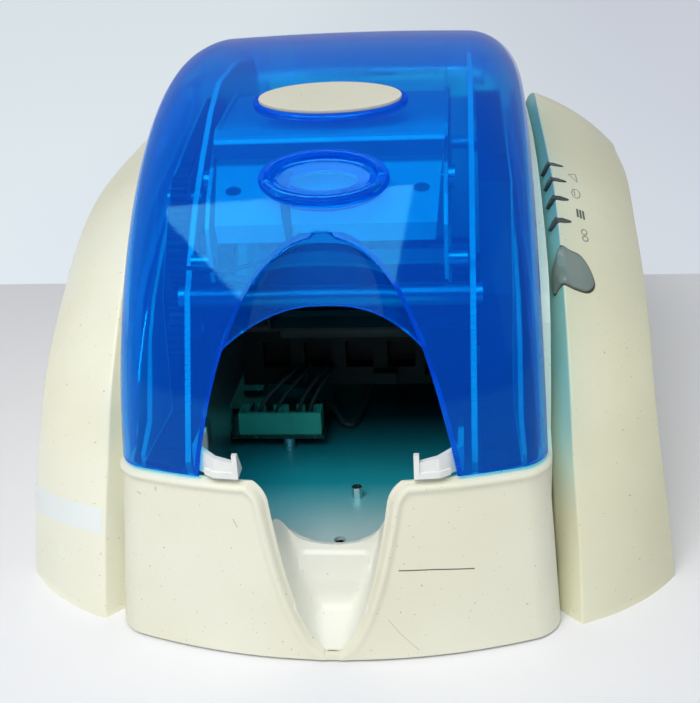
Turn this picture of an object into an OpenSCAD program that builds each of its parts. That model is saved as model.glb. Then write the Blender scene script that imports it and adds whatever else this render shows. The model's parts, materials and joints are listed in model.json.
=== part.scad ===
// Desktop card printer: a cream body between two flared side panels, under a clear blue lid.
// Every shape is drawn by its depth behind the front corners of the side panels,
// then moved forward by mid_depth so that the printer stands around the middle of its base.

/* [Body] */
// Furthest reach of a side panel from the middle
panel_reach = 130; // [127:0.5:134]
// Thickness of the side panels
panel_wall = 2.8; // [2.2:0.1:3.2]
// Thickness of the front shell
shell_wall = 2.6; // [2:0.1:3]
// Half width of the finger notch near its top
notch_half = 21.2; // [18:0.2:23]
// Height of the metal deck
deck_z = 30; // [29:0.5:31]
// Diameter of a rubber foot
foot_d = 16; // [12:1:20]

/* [Lid] */
// Height of the crown of the lid
lid_crown = 195.5; // [194.5:0.5:198]
// Thickness of the lid
lid_wall = 2.3; // [1.8:0.1:2.6]
// Half length of the oval badge plate
badge_half = 25.9; // [22:0.1:27]
// Travel left under the release pad
pad_gap = 2.3; // [2:0.1:3]

/* [Print engine] */
// Diameter of the front cross bar
bar_d = 8; // [6:0.5:8.5]
// Width of the card that is printed
card_w = 54; // [50:1:56]
// Diameter of the platen and feed rollers
roller_d = 12; // [11:0.2:12]
// Tooth size of the ribbon gears
ribbon_module = 0.9;

/* [Hidden] */
// Depth of the middle of the base behind the front corners of the side panels
mid_depth = 160;
cream = [0.93, 0.92, 0.85];
pale = [0.85, 0.88, 0.88];
steel = [0.62, 0.67, 0.68];
dark = [0.13, 0.14, 0.15];
green = [0.05, 0.3, 0.2];
white = [0.95, 0.95, 0.92];
blue = [0.02, 0.35, 0.85, 0.6];
board_z = deck_z + 5.4;
// Height of the print line, where the card passes under the head
card_z = 92;
roller_z = card_z - roller_d / 2;
drive_module = 0.8;
front_roller_v = 84;
platen_v = 112;
rear_roller_v = 148;
hinge = [232, 160];
carrier_pivot = [150, 145];
// Depth and height of the three ribbon gears
lower_axle = [39, 102.5];
takeup_axle = [47, 128.28];
small_axle = [55, 147.37];
hub_axle = [76, 116];
hood_back = 341;

function unit(a) = a / norm(a);
function mix(a, b, q) = a + (b - a) * q;
// Smooth line through a table of points, at place t
function through(l, t) = let (i = min(floor(t), len(l) - 2), q = t - i, a = l[max(i - 1, 0)], b = l[i],
    c = l[i + 1], d = l[min(i + 2, len(l) - 1)])
    (2 * b + (c - a) * q + (2 * a - 5 * b + 4 * c - d) * q * q + (3 * b - a - 3 * c + d) * q * q * q) / 2;
function mirrored(l) = [for (i = [len(l) - 1:-1:0]) [-l[i][0], l[i][1], l[i][2]]];
function grid_normal(g, r, c) = let (a = g[min(r + 1, len(g) - 1)][c] - g[max(r - 1, 0)][c],
    b = g[r][min(c + 1, len(g[0]) - 1)] - g[r][max(c - 1, 0)], n = cross(b, a))
    norm(n) > 0.001 ? unit(n) : grid_normal(g, r + 1, c);
function inside(g, t) = [for (r = [0:len(g) - 1]) [for (c = [0:len(g[0]) - 1])
    g[r][c] - t * grid_normal(g, r, c)]];
function oval(a, b, n = 40) = [for (i = [0:n - 1]) [a * cos(360 * i / n), b * sin(360 * i / n)]];

// Closed shell between an outer and an inner grid of points, with blocks of cells left open
module shell(outer, inner, open = []) {
    nr = len(outer);
    nc = len(outer[0]);
    m = nr * nc;
    function full(r, c) = r >= 0 && c >= 0 && r < nr - 1 && c < nc - 1
        && len([for (b = open) if (r >= b[0] && r < b[1] && c >= b[2] && c < b[3]) 1]) == 0;
    function o(r, c) = r * nc + c;
    function q(r, c) = m + r * nc + c;
    points = concat([for (r = outer) each r], [for (r = inner) each r]);
    faces = [for (r = [0:nr - 2], c = [0:nc - 2]) if (full(r, c)) each concat(
        [[o(r, c), o(r + 1, c), o(r + 1, c + 1)], [o(r, c), o(r + 1, c + 1), o(r, c + 1)],
         [q(r, c), q(r + 1, c + 1), q(r + 1, c)], [q(r, c), q(r, c + 1), q(r + 1, c + 1)]],
        full(r - 1, c) ? [] : [[o(r, c), o(r, c + 1), q(r, c + 1)], [o(r, c), q(r, c + 1), q(r, c)]],
        full(r + 1, c) ? [] : [[o(r + 1, c + 1), o(r + 1, c), q(r + 1, c)],
            [o(r + 1, c + 1), q(r + 1, c), q(r + 1, c + 1)]],
        full(r, c - 1) ? [] : [[o(r + 1, c), o(r, c), q(r, c)], [o(r + 1, c), q(r, c), q(r + 1, c)]],
        full(r, c + 1) ? [] : [[o(r, c + 1), o(r + 1, c + 1), q(r + 1, c + 1)],
            [o(r, c + 1), q(r + 1, c + 1), q(r, c + 1)]])];
    polyhedron(points, faces);
}

// Lead of oval section along a line of points
module lead(route, wide, thick, sides = 8) {
    n = len(route);
    function along(i) = unit(route[min(i + 1, n - 1)] - route[max(i - 1, 0)]);
    rings = [for (i = [0:n - 1]) let (t = along(i), a = unit(cross(t, [0.02, 0.1, 1])), b = cross(a, t))
        for (k = [0:sides - 1]) route[i] + a * wide * cos(360 * k / sides) + b * thick * sin(360 * k / sides)];
    walls = [for (i = [0:n - 2], k = [0:sides - 1]) let (a = i * sides + k, b = i * sides + (k + 1) % sides)
        each [[a, b, b + sides], [a, b + sides, a + sides]]];
    polyhedron(rings, concat(walls, [[for (k = [sides - 1:-1:0]) k]], [[for (k = [0:sides - 1])
        (n - 1) * sides + k]]));
}

module seated() {
    translate([0, -mid_depth, 0]) children();
}

// Rod along the width, from x0 to x1, at a depth and height
module rod(x0, x1, at, r) {
    translate([x0, at[0], at[1]]) rotate([0, 90, 0]) cylinder(h = x1 - x0, r = r, $fn = 48);
}

// Plate across the width, cut to an outline of depth and height
module plate(x0, x1, outline) {
    translate([x0, 0, 0]) rotate([90, 0, 90]) linear_extrude(x1 - x0) polygon(outline);
}

// Plate from depth v0 to v1, cut to an outline of width and height
module plate_front(v0, v1, outline) {
    translate([0, v1, 0]) rotate([90, 0, 0]) linear_extrude(v1 - v0) polygon(outline);
}

module both_sides() {
    children();
    mirror([1, 0, 0]) children();
}

module pan_screw(x, at, out) {
    translate([x, at[0], at[1]]) rotate([0, 90 * out, 0]) difference() {
        union() {
            cylinder(h = 2.4, r = 4, $fn = 36);
            translate([0, 0, -5]) cylinder(h = 5.5, r = 1.5, $fn = 24);
        }
        translate([0, 0, 1.2]) cylinder(h = 3, r = 1.9, $fn = 6);
    }
}

// Involute gear
function involute(q) = tan(q) * 180 / PI - q;
function tooth_half(n, m, rho) = let (r = n * m / 2, base = r * cos(20))
    90 / n - 0.09 / r * 90 / PI + involute(20) - involute(acos(min(1, base / max(rho, base))));
function gear_outline(n, m, turn) = let (r = n * m / 2, root = r - 1.15 * m, tip = r + 0.9 * m,
    steps = [root, max(r * cos(20), root + 0.1), r, tip])
    [for (k = [0:n - 1]) each concat(
        [for (s = steps) let (q = 360 * k / n + turn - tooth_half(n, m, s)) s * [cos(q), sin(q)]],
        [for (i = [3:-1:0]) let (s = steps[i], q = 360 * k / n + turn + tooth_half(n, m, s))
            s * [cos(q), sin(q)]])];
module gear(x0, x1, at, n, m, turn, bore) {
    translate([x0, at[0], at[1]]) rotate([90, 0, 90]) linear_extrude(x1 - x0) difference() {
        polygon(gear_outline(n, m, turn));
        circle(r = bore, $fn = 36);
    }
}
function direction(a, b) = atan2(b[1] - a[1], b[0] - a[0]);
// Turn of a gear that meshes with its neighbour
function meshing(a, na, turn_a, b, nb) = let (line = direction(a, b), step = 360 / na,
    lag = (line - turn_a) - step * floor((line - turn_a) / step))
    line + 180 + lag * na / nb + 180 / nb;

// Lid: depth and height along the middle, at place s; 0 is the front edge, 1 the crown, 2 the back
function lid_middle(s) = s <= 1
    ? [120 - 136 * cos(90 * s), 67 + (lid_crown - 67) * sin(90 * s)]
    : let (v = 120 + (s - 1) * 116) [v, lid_crown - (v - 120) * (v - 120) / 500];
function lid_inward(s) = s <= 1
    ? unit([cos(90 * s) / 136, -sin(90 * s) / (lid_crown - 67)])
    : unit([-(s - 1) * 116 / 250, -1]);
function lid_half(s) = s <= 1 ? 76 - 4.5 * sin(90 * s) : 71.5 + 1.2 * pow(s - 1, 1.5);
function lid_sag(s) = s <= 1 ? 16 - 14 * pow(sin(90 * s), 1.2) : 2;
function lid_round(s) = s <= 1 ? 9 + 13 * sin(90 * s) : 22;
function lid_skirt(s) = s <= 1 ? 5 + 24 * sin(90 * s) + 6 * pow(sin(90 * s), 2) : 35 - 10 * (s - 1);
function lid_point(s, x, d) = let (p = lid_middle(s), n = lid_inward(s))
    [x, p[0] + n[0] * d, p[1] + n[1] * d];
function lid_drop(s, x) = let (w = lid_half(s), r = lid_round(s), q = max(0, abs(x) - w + r))
    lid_sag(s) * x * x / w / w + r - sqrt(max(0, r * r - q * q));
// Half width of the cut-out in the front of the lid
function arch_half(z) = let (u = (z - 67) / 78) u >= 1 ? 0
    : 44.5 * sqrt(1 - pow(u, 1.9)) * (1 - 0.28 * u * (1 - u));
function height_place(z) = asin((z - 67) / (lid_crown - 67)) / 90;
arch_rows = [67, 80, 93, 104, 112, 120, 128, 134.5, 139.5, 143, 144.6];
lid_places = concat([for (z = arch_rows) height_place(z)],
    [0.46, 0.52, 0.58, 0.65, 0.73, 0.81, 0.9, 1, 1.15, 1.3, 1.5, 1.7, 1.85, 2]);
lid_mid_cells = 8;
function row_half(k) = k < len(arch_rows) ? max(arch_half(arch_rows[k]), 3)
    : min(3 + 3 * (k - len(arch_rows) + 1), 20);
function lid_side(s, p) = let (w = lid_half(s), r = lid_round(s)) concat(
    [for (i = [0:4]) let (x = mix(p, w - r, i / 5)) lid_point(s, x, lid_drop(s, x))],
    [for (i = [0:4]) let (x = w - r + r * sin(22.5 * i)) lid_point(s, x, lid_drop(s, x))],
    [lid_point(s, w, lid_drop(s, w) + lid_skirt(s))]);
// Between the sides of the cut-out the lid dips back to a web over the card exit
function lid_web(k) = let (s = lid_places[k], p = row_half(k), e = lid_point(s, p, lid_drop(s, p)))
    [for (j = [1:lid_mid_cells - 1]) let (q = -1 + 2 * j / lid_mid_cells, b = 1 - pow(abs(q), 2.4))
        k < len(arch_rows)
        ? [q * p, mix(e[1], 13, b), mix(e[2], 125 + (arch_rows[k] - 112) * 20 / 33, b)]
        : lid_point(s, q * p, lid_drop(s, q * p))];
lid_grid = [for (k = [0:len(lid_places) - 1]) let (h = lid_side(lid_places[k], row_half(k)))
    concat(mirrored(h), lid_web(k), h)];
// Place on the middle line of the lid, with the outward direction upright
module on_lid(v) {
    s = acos((120 - v) / 136) / 90;
    translate(lid_point(s, 0, 0)) rotate([asin(lid_inward(s)[0]), 0, 0]) children();
}

// Front shell
function shell_half(z) = 81.4 - 5.4 * z / 67;
function shell_front(z, x) = let (w = shell_half(z), r = 9.5, q = max(0, abs(x) - w + r))
    -24.7 + 8.7 * z / 67 + x * x / 362 + r - sqrt(max(0, r * r - q * q));
function notch(z) = let (u = (z - 2.8) / 57) z <= 2.8 ? 0
    : notch_half * sqrt(u) * (1.14 - 0.1 * u) + (z > 57.5 ? 9.2 - sqrt(max(0, 84.64 - (z - 57.5) * (z - 57.5))) : 0);
function top_bead(z) = z < 61 ? 0 : 1.5 * sin((z - 61) * 180 / 7.5);
shell_rows = [1, 2.8, 4.2, 6, 8.5, 12, 16, 21, 27, 34, 41, 48, 54, 57.5, 61, 63.5, 65.3, 66.4];
function shell_at(z, x, out) = [x * (shell_half(z) + out) / shell_half(z), shell_front(z, x) - out, z];
function shell_side(z) = let (w = shell_half(z), p = max(notch(z), 3), b = top_bead(z), rim = z < 4 ? 0 : 1)
    concat(
    [shell_at(z, p, b + 0.5 * rim), shell_at(z, p + 1.2, b + 1.2 * rim), shell_at(z, p + 2.6, b + 0.7 * rim)],
    [for (i = [0:6]) shell_at(z, mix(p + 4, w - 9.5, i / 6), b)],
    [for (i = [1:4]) shell_at(z, w - 9.5 + 9.5 * sin(22.5 * i), b)],
    [[w + b, 14, z]]);
shell_grid = [for (z = shell_rows) let (h = shell_side(z), p = max(notch(z), 3))
    concat(mirrored(h), [for (q = [-0.5, 0, 0.5]) shell_at(z, q * p, 0)], h)];

// Scoop behind the notch
function scoop_back(z) = z < 10 ? mix(-24, -8, (z - 2.8) / 7.2)
    : mix(-8, 0, pow(min(1, (z - 10) / 24), 0.5));
function scoop_top(q) = 32.6 + 3.4 * q * q + 7 * pow(q, 8) + 3.2 * pow(q, 30);
function scoop_half(z) = max(notch(min(z, 57)), 2) - 0.4;
// The bowl is round at the bottom and squarer towards its top edge
function scoop_round(q, z) = let (up = min(1, z / 34)) pow(1 - pow(abs(q), 3 + 27 * up * up), 0.6 - 0.1 * up);
function scoop_at(k, q) = let (z = mix(3.2, scoop_top(q), k), x = scoop_half(z) * q,
    front = shell_front(z, scoop_half(z)) + 2.2, back = scoop_back(z),
    pillow = 1.2 * max(0, 1 - pow(abs(x / 13.5), 6)) * max(0, 1 - pow(abs((z - 22) / 11), 6)))
    [x, mix(front, max(back, front + 0.2), scoop_round(q, z)) - pillow, z];
scoop_grid = [for (k = [0:13]) [for (j = [0:18]) scoop_at(k / 13, -sin(90 * (1 - j / 9)))]];

// Side panel: inner and outer edges of the sloping front face, from the floor up and over to the back
panel_inner = [[88.9, 0, 0], [88.6, 4, 12], [88, 8.5, 27.7], [86.9, 13, 43.3], [85.8, 19.5, 59.8],
    [85.2, 28.5, 77.8], [84.9, 39, 90.8], [84.6, 49, 102.5], [84, 60, 115], [83.5, 72, 126], [83, 100, 138],
    [82.4, 130, 144], [82, 174, 149], [82, 203, 151.2], [82, 230, 151.5], [82, 290, 138], [82, 340, 115]];
panel_outer = [[126.7, 32.4, 0], [125.3, 33.9, 13.8], [123.4, 35.1, 27.8], [121.1, 37.3, 43.8],
    [119.5, 40.4, 56.7], [118.3, 46.2, 70.2], [118.1, 55.6, 80.8], [118.5, 70.5, 90.5], [118.7, 84, 98],
    [118.5, 101, 108.4], [118.3, 121.6, 117.7], [119.5, 146, 122.4], [120.6, 174, 125], [119.9, 203, 127.3],
    [120.8, 230, 125], [118, 290, 112], [114, 340, 92]];
function panel_bow(z) = pow(max(0, 1 - z / 66), 1.15);
function panel_row(t) = let (a = through(panel_inner, t), out = panel_reach - 130,
    b = through(panel_outer, t) + [out, 0, 0], ahead = through(panel_inner, min(t + 0.2, 16)),
    behind = through(panel_inner, max(t - 0.2, 0)), run = unit([ahead[1] - behind[1], ahead[2] - behind[2]]),
    face = unit(cross(b - a, [0, run[0], run[1]])),
    lean = min(a[2] / 67, 1), deep = 9 + 2 * lean,
    back = [81.8 - 3.6 * lean, min(a[1] + deep * run[1], 340), max(0, a[2] - deep * run[0])],
    swell = 0.25 * sin(180 * max(0, b[1] - 32) / 308))
    concat(
    [for (q = [0, 0.5]) [back[0], back[1], back[2] * q], back, a],
    [for (q = [0.2, 0.4, 0.6, 0.8]) let (p = mix(a, b, q) + face * 12 * q * (1 - q) * (t < 0.01 ? 1.2 : 1))
        [p[0], min(p[1], 340), t < 0.01 ? 0 : p[2]]],
    [b],
    [for (q = [0.75, 0.5, 0.25, 0]) let (z = b[2] * q)
        [b[0] + (8.2 * (panel_bow(z) - panel_bow(b[2])) + swell * (1 - q)), b[1], z]]);
panel_places = concat([0, 0.5], [for (i = [1:11]) i], [12, 13, 14, 14.6, 15.3, 16]);
panel_grid = [for (t = panel_places) panel_row(t)];
panel_inside = [for (r = [0:len(panel_grid) - 1]) let (row = inside(panel_grid, panel_wall)[r],
    first = panel_grid[r]) [for (c = [0:len(row) - 1]) [row[c][0], min(row[c][1], first[c][1] > 339.9
        ? 340 : 999), first[c][2] == 0 ? 0 : max(0.4, row[c][2])]]];
module side_panel() {
    shell(panel_grid, panel_inside);
}

module body_wall() {
    difference() {
        plate(72, 78, [[14.6, 6], [14.6, 62], [24, 67], [26, 80], [30, 92], [35, 104], [42, 113],
            [51, 119.5], [68, 126.5], [93, 134], [120, 141], [160, 146], [200, 147], [330, 147],
            [hood_back, 140], [hood_back, 6]]);
        translate([60, -10, 0]) cube([16.6, 400, 67.1]);
        // Above the front shell the inner face leans in with the side of the lid
        translate([76.6, 0, 67]) rotate([0, -2.2, 0]) translate([-20, -10, 0]) cube([20, 400, 200]);
    }
}

module bay_liner(rear_from) {
    plate(66.6, 68.4, [[5, 63], [5, 67], [18, 74], [24, 88], [29.6, 101.6], [40, 114], [58, 125],
        [80, 134.5], [108, 146], [125, 149], [160, 152], [160, 63]]);
    difference() {
        translate([53, -4, 63]) cube([14, 52, 2.5]);
        translate([59.5, 9, 64.9]) cylinder(h = 3, r = 4.4, $fn = 40);
        translate([60, -12, 60]) rotate([0, 0, 20]) cube([30, 12, 10]);
    }
    difference() {
        plate(rear_from, 67, [[46, 64], [50, 110], [75, 146], [160, 166], [160, 163.9], [76.2, 144.2],
            [52.1, 109], [48.1, 64]]);
        translate([63.7, 95, 146]) cylinder(h = 8, r = 2.2, $fn = 32);
    }
}

plate_outline = [[12, deck_z], [1, 66], [9, 86], [18.8, 109], [23.8, 120], [33, 130.6], [44.8, 142],
    [51, 147.5], [70, 160], [90, 172], [110, 180], [150, 183], [190, 180], [198, 172], [198, deck_z],
    [170, deck_z], [160, 56], [72, 56], [62, deck_z]];
module chassis_plate(holes) {
    difference() {
        plate(49.3, 51.3, plate_outline);
        for (h = holes) rod(48, 53, [h[0], h[1]], h[2]);
        for (i = [0:20]) translate([48, 1.2 + i * 1.05, 68 + i * 2.45]) rotate([22, 0, 0])
            translate([0, -3, 0]) cube([5, 3.6, 1]);
        translate([48, 118, 150]) cube([5, 22, 12]);
    }
    translate([49.3, 64, deck_z]) difference() {
        union() {
            translate([0, -44, 0]) cube([12, 14, 1.6]);
            translate([0, 112, 0]) cube([12, 18, 1.6]);
        }
        translate([7, -37, -1]) cylinder(h = 4, r = 1.8, $fn = 24);
        translate([7, 121, -1]) cylinder(h = 4, r = 1.8, $fn = 24);
    }
}

// Ledge beside the card exit, with a low hook at its end
module card_rail() {
    intersection() {
        translate([0, 0, 66.97]) linear_extrude(10) polygon([[31, -13.5], [38.5, -12.5], [42.5, -9.5],
            [46.5, -6.2], [46.8, 16], [44.8, 16], [44.5, -4.5], [41.5, -7.4], [38, -10.3], [31, -11.2]]);
        plate_front(-20, 20, [[30, 66], [30, 72.2], [47, 76.2], [47, 66]]);
    }
    translate([0, 0, 66.97]) linear_extrude(2.33) polygon([[31, -14.3], [38.8, -13.3], [42.4, -10.6],
        [41.5, -9], [38, -11], [31, -12]]);
    plate(30, 31.8, [[-14.3, 66.97], [-14.3, 76], [-12.4, 76], [-6, 66.97]]);
}

// Point on the sloping face of the side panel, at place t along it and q across it
function face_point(t, q) = let (a = through(panel_inner, t), b = through(panel_outer, t),
    ahead = through(panel_inner, min(t + 0.2, 16)), behind = through(panel_inner, max(t - 0.2, 0)),
    run = unit([ahead[1] - behind[1], ahead[2] - behind[2]])) mix(a, b, q)
    + unit(cross(b - a, [0, run[0], run[1]])) * 12 * q * (1 - q);
function face_across(t, q) = unit(face_point(t, q + 0.02) - face_point(t, q - 0.02));
function face_out(t, q) = unit(cross(face_across(t, q), face_point(t + 0.05, q) - face_point(t - 0.05, q)));
function edge_run(t) = unit(through(panel_inner, t + 0.1) - through(panel_inner, t - 0.1));
function edge_back(t) = let (run = edge_run(t)) unit([-5.4, 11 * run[2], -11 * run[1]]);

// Turn the children so that upright becomes out and sideways becomes along
module facing(at, out, along) {
    tilt = acos(out[2]);
    turn = atan2(out[1], out[0]);
    down = [cos(tilt) * cos(turn), cos(tilt) * sin(turn), -sin(tilt)];
    side = [-sin(turn), cos(turn), 0];
    translate(at) rotate([0, tilt, turn]) rotate([0, 0, atan2(along * side, along * down)]) children();
}
light_places = [10.63, 10.14, 9.71, 9.28];
light_outline = [[-0.4, 1.1], [2.2, 1.3], [5.4, 0.2], [6, -0.4], [5.2, -0.9], [2.2, -1.3], [-0.4, -1.1]];
// A light folded over the edge: one leg on the sloping face, one on the face behind it
module light(t, gap) {
    facing(face_point(t, 0.005), face_out(t, 0.06), face_across(t, 0.06)) translate([0, 0, -1.2 - gap])
        linear_extrude(1.5 + 2 * gap) polygon(light_outline);
    facing(through(panel_inner, t), -cross(edge_run(t), edge_back(t)), edge_back(t))
        translate([0, 0, -1.2 - gap]) linear_extrude(1.5 + 2 * gap) polygon(light_outline);
}
// Teardrop button that wraps round the edge of the right side panel
button_outline = [[-9.4, -4.3], [-8.6, -7.4], [-5, -10.8], [0.5, -14.2], [5.6, -16.4], [5.2, -13.8],
    [3.4, -11.4], [6.1, -7.9], [8.4, -3.6], [8.9, -1], [8, 1.4], [5.4, 3], [1.4, 2.8], [-5.2, 0.6], [-8.4, -2]];
button_place = [8.15, 0.18];
module button_shape(from, to, grow) {
    t = button_place[0];
    q = button_place[1];
    facing(face_point(t, q), face_out(t, q), [0.404, -0.468, -0.786]) translate([-0.4, -6.4, from])
        linear_extrude(to - from) scale(grow) polygon([for (p = button_outline) p + [0.4, 6.4]]);
}
module base_tray() color(cream) seated() {
    difference() {
        union() {
            translate([-77, 15, 3]) cube([154, 325, 3]);
            for (x = [-66, 66], v = [30, 140, 250, 320]) translate([x, v, 6]) cylinder(h = deck_z - 7.5, r = 4,
                $fn = 32);
            for (v = [60, 100, 180, 220]) translate([-70, v, 6]) cube([140, 2, 6]);
        }
        for (x = [-40, 40], i = [0:8]) translate([x - 14, 112 + i * 6, 0]) cube([28, 2.5, 9]);
        for (x = [-60, 60], v = [40, 300]) translate([x, v, 2]) cylinder(h = 2, r = foot_d / 2 + 0.2, $fn = 48);
        for (x = [-66, 66], v = [30, 140, 250]) translate([x, v, 12]) cylinder(h = 30, r = 1.4, $fn = 24);
    }
}
module feet() color(dark) seated() {
    for (x = [-60, 60], v = [40, 300]) translate([x, v, 0]) cylinder(h = 4, r = foot_d / 2, $fn = 48);
}
module front_shell() color(cream) seated() {
    difference() {
        shell(shell_grid, inside(shell_grid, shell_wall), [[1, len(shell_rows) - 1, 14, 18]]);
        translate([-100, -40, -5]) cube([200, 60, 6]);
    }
}
module finger_scoop() color(cream) seated() {
    shell(scoop_grid, inside(scoop_grid, 2));
}
module left_side_panel() color(cream) seated() {
    mirror([1, 0, 0]) side_panel();
}
module right_side_panel() color(cream) seated() {
    difference() {
        side_panel();
        for (t = light_places) light(t, 0.05);
        button_shape(-12, 6, 1.035);
    }
}
module left_body_wall() color(cream) seated() {
    mirror([1, 0, 0]) body_wall();
}
module right_body_wall() color(cream) seated() {
    body_wall();
}
module left_bay_liner() color(pale) seated() {
    mirror([1, 0, 0]) bay_liner(61);
}
module right_bay_liner() color(pale) seated() {
    bay_liner(53);
}
module rear_hood() color(cream) seated() {
    difference() {
        union() {
            plate(-73.2, 73.2, [[247, deck_z], [247, 144], [250, 147], [332, 147], [hood_back, 139],
                [hood_back, 6.2], [hood_back - 3, 6.2], [hood_back - 3, 137.6], [331, 144], [250, 144],
                [250, deck_z]]);
            plate(-38, 38, [[247.6, 146], [247.6, 159], [250, 161], [337, 161], [340, 158], [340, 138],
                [337, 138], [337, 146]]);
        }
        translate([-35, 250.4, 140]) cube([70, 86.6, 18.6]);
        translate([-card_w / 2 - 2, 252, 150]) cube([card_w + 4, 76, 20]);
        translate([-card_w / 2 - 2, 240, card_z - 1]) cube([card_w + 4, 20, 7]);
        translate([-70, hood_back - 9, 14]) cube([110, 12, 40]);
    }
    difference() {
        union() {
            both_sides() plate(50, 54, [[250, 132], [236, 148], [228, 156], [228, 162.4], [232, 163.6],
                [235.4, 162], [236.4, 156.6], [250, 146.5]]);
            both_sides() translate([16, 331.5, 159]) cube([5, 6, 7.2]);
        }
        rod(-60, 60, hinge, 1.96);
        rod(-30, 30, [334.4, 163.6], 1.46);
    }
}
module rear_panel() color(cream) seated() {
    difference() {
        translate([0, 344, 0]) rotate([90, 0, 0]) linear_extrude(344 - hood_back) polygon([[-121, 1],
            [-114, 89], [-83, 113], [-78, 118], [-78, 137], [78, 137], [78, 118], [83, 113], [114, 89],
            [121, 1]]);
        translate([-56, 330, 24]) cube([20, 30, 18]);
        translate([-24, 330, 26]) cube([13.4, 30, 12.4]);
        translate([12, 330, 24]) cube([21, 30, 15]);
        for (i = [0:11]) translate([-66 + i * 12, 330, 60]) cube([4, 30, 26]);
    }
}
module floor_deck() color(steel) seated() {
    difference() {
        union() {
            translate([-75, 4, deck_z - 1.5]) cube([150, 316, 1.5]);
            translate([-75, 4, deck_z - 6]) cube([150, 1.5, 5]);
        }
        translate([1, 8.3, 20]) cylinder(h = 20, r = 2.2, $fn = 32);
        translate([4.9, 40, 20]) cylinder(h = 20, r = 1.5, $fn = 32);
        for (x = [-66, 66], v = [30, 140, 250]) translate([x, v, 20]) cylinder(h = 20, r = 1.8, $fn = 24);
        for (i = [0:5]) translate([-40 + i * 14, 200, 20]) cube([6, 60, 20]);
    }
}
module deck_standoff() color(steel) seated() {
    difference() {
        union() {
            translate([4.9, 40, deck_z]) cylinder(h = 4.8, r = 2.1, $fn = 6);
            translate([4.9, 40, deck_z - 3]) cylinder(h = 3.2, r = 1.48, $fn = 24);
        }
        translate([4.9, 40, deck_z + 1.5]) cylinder(h = 5, r = 1.1, $fn = 24);
    }
}
plate_holes = [[27, 118.5, 1.6], [carrier_pivot[0], carrier_pivot[1], 2.52], [front_roller_v, roller_z, 3],
    [platen_v, roller_z, 3], [rear_roller_v, roller_z, 3]];
module left_chassis_plate() color(steel) seated() {
    mirror([1, 0, 0]) chassis_plate(concat(plate_holes, [[lower_axle[0], lower_axle[1], 2],
        [takeup_axle[0], takeup_axle[1], 3.05], [small_axle[0], small_axle[1], 2],
        [hub_axle[0], hub_axle[1], 2]]));
}
module right_chassis_plate() color(steel) seated() {
    chassis_plate(concat(plate_holes, [[160.8, 62, 6]]));
}
module rear_bulkhead() color(steel) seated() {
    difference() {
        translate([-49.3, 192, 58]) cube([98.6, 1.6, 100]);
        translate([-32, 190, card_z - 3]) cube([64, 6, 9]);
        for (x = [-24, 24]) translate([x, 190, 130]) rotate([-90, 0, 0]) cylinder(h = 6, r = 8, $fn = 40);
    }
}
module front_bar() color(steel) seated() {
    difference() {
        rod(-49.3, 49.3, [27, 118.5], bar_d / 2);
        both_sides() rod(42, 50, [27, 118.5], 1.6);
    }
}
module bar_screws() color(steel) seated() {
    both_sides() pan_screw(51.3, [27, 118.5], 1);
}
module left_card_rail() color(white) seated() {
    mirror([1, 0, 0]) card_rail();
}
module right_card_rail() color(white) seated() {
    card_rail();
}
module main_board() color(green) seated() {
    difference() {
        translate([-64, 81, board_z]) cube([51.8, 74, 1.6]);
        for (p = board_fixings) translate([p[0], p[1], board_z - 1]) cylinder(h = 4, r = 1.6, $fn = 24);
    }
    for (p = [[-36, 112, 14, 14, 2], [-57, 104, 10, 8, 1.8], [-54, 124, 9, 12, 1.8], [-32, 134, 12, 10, 2]])
        translate([p[0], p[1], board_z + 1.6]) cube([p[2], p[3], p[4]]);
    for (v = [99, 106]) translate([-18, v, board_z + 1.6]) cylinder(h = 7, r = 2.6, $fn = 32);
}
board_fixings = [[-60, 98], [-27.5, 95], [-60, 150], [-17, 150]];
module board_posts() color(steel) seated() {
    for (p = board_fixings) {
        translate([p[0], p[1], deck_z]) cylinder(h = board_z - deck_z, r = 3, $fn = 6);
        translate([p[0], p[1], board_z]) cylinder(h = 1.6, r = 1.55, $fn = 24);
        translate([p[0], p[1], board_z + 1.6]) cylinder(h = 1.8, r = 2.8, $fn = 32);
    }
    translate([-27.5, 83, deck_z]) cylinder(h = board_z - deck_z, r = 2.6, $fn = 32);
}
module board_sockets() color(white) seated() {
    difference() {
        union() {
            translate([-48.4, 81.8, board_z + 1.6]) cube([35, 9.5, 9.8]);
            translate([-63.4, 82, board_z + 1.6]) cube([10.8, 9, 9.8]);
        }
        for (x = [-47.2, -30.4]) translate([x, 83.2, board_z + 4]) cube([15.6, 6.8, 9]);
        for (x = [-45, -38, -28, -21]) translate([x, 88, board_z + 8]) cube([3.4, 5, 5]);
        translate([-62.2, 83.4, board_z + 4]) cube([8.4, 6.4, 9]);
    }
}
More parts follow.
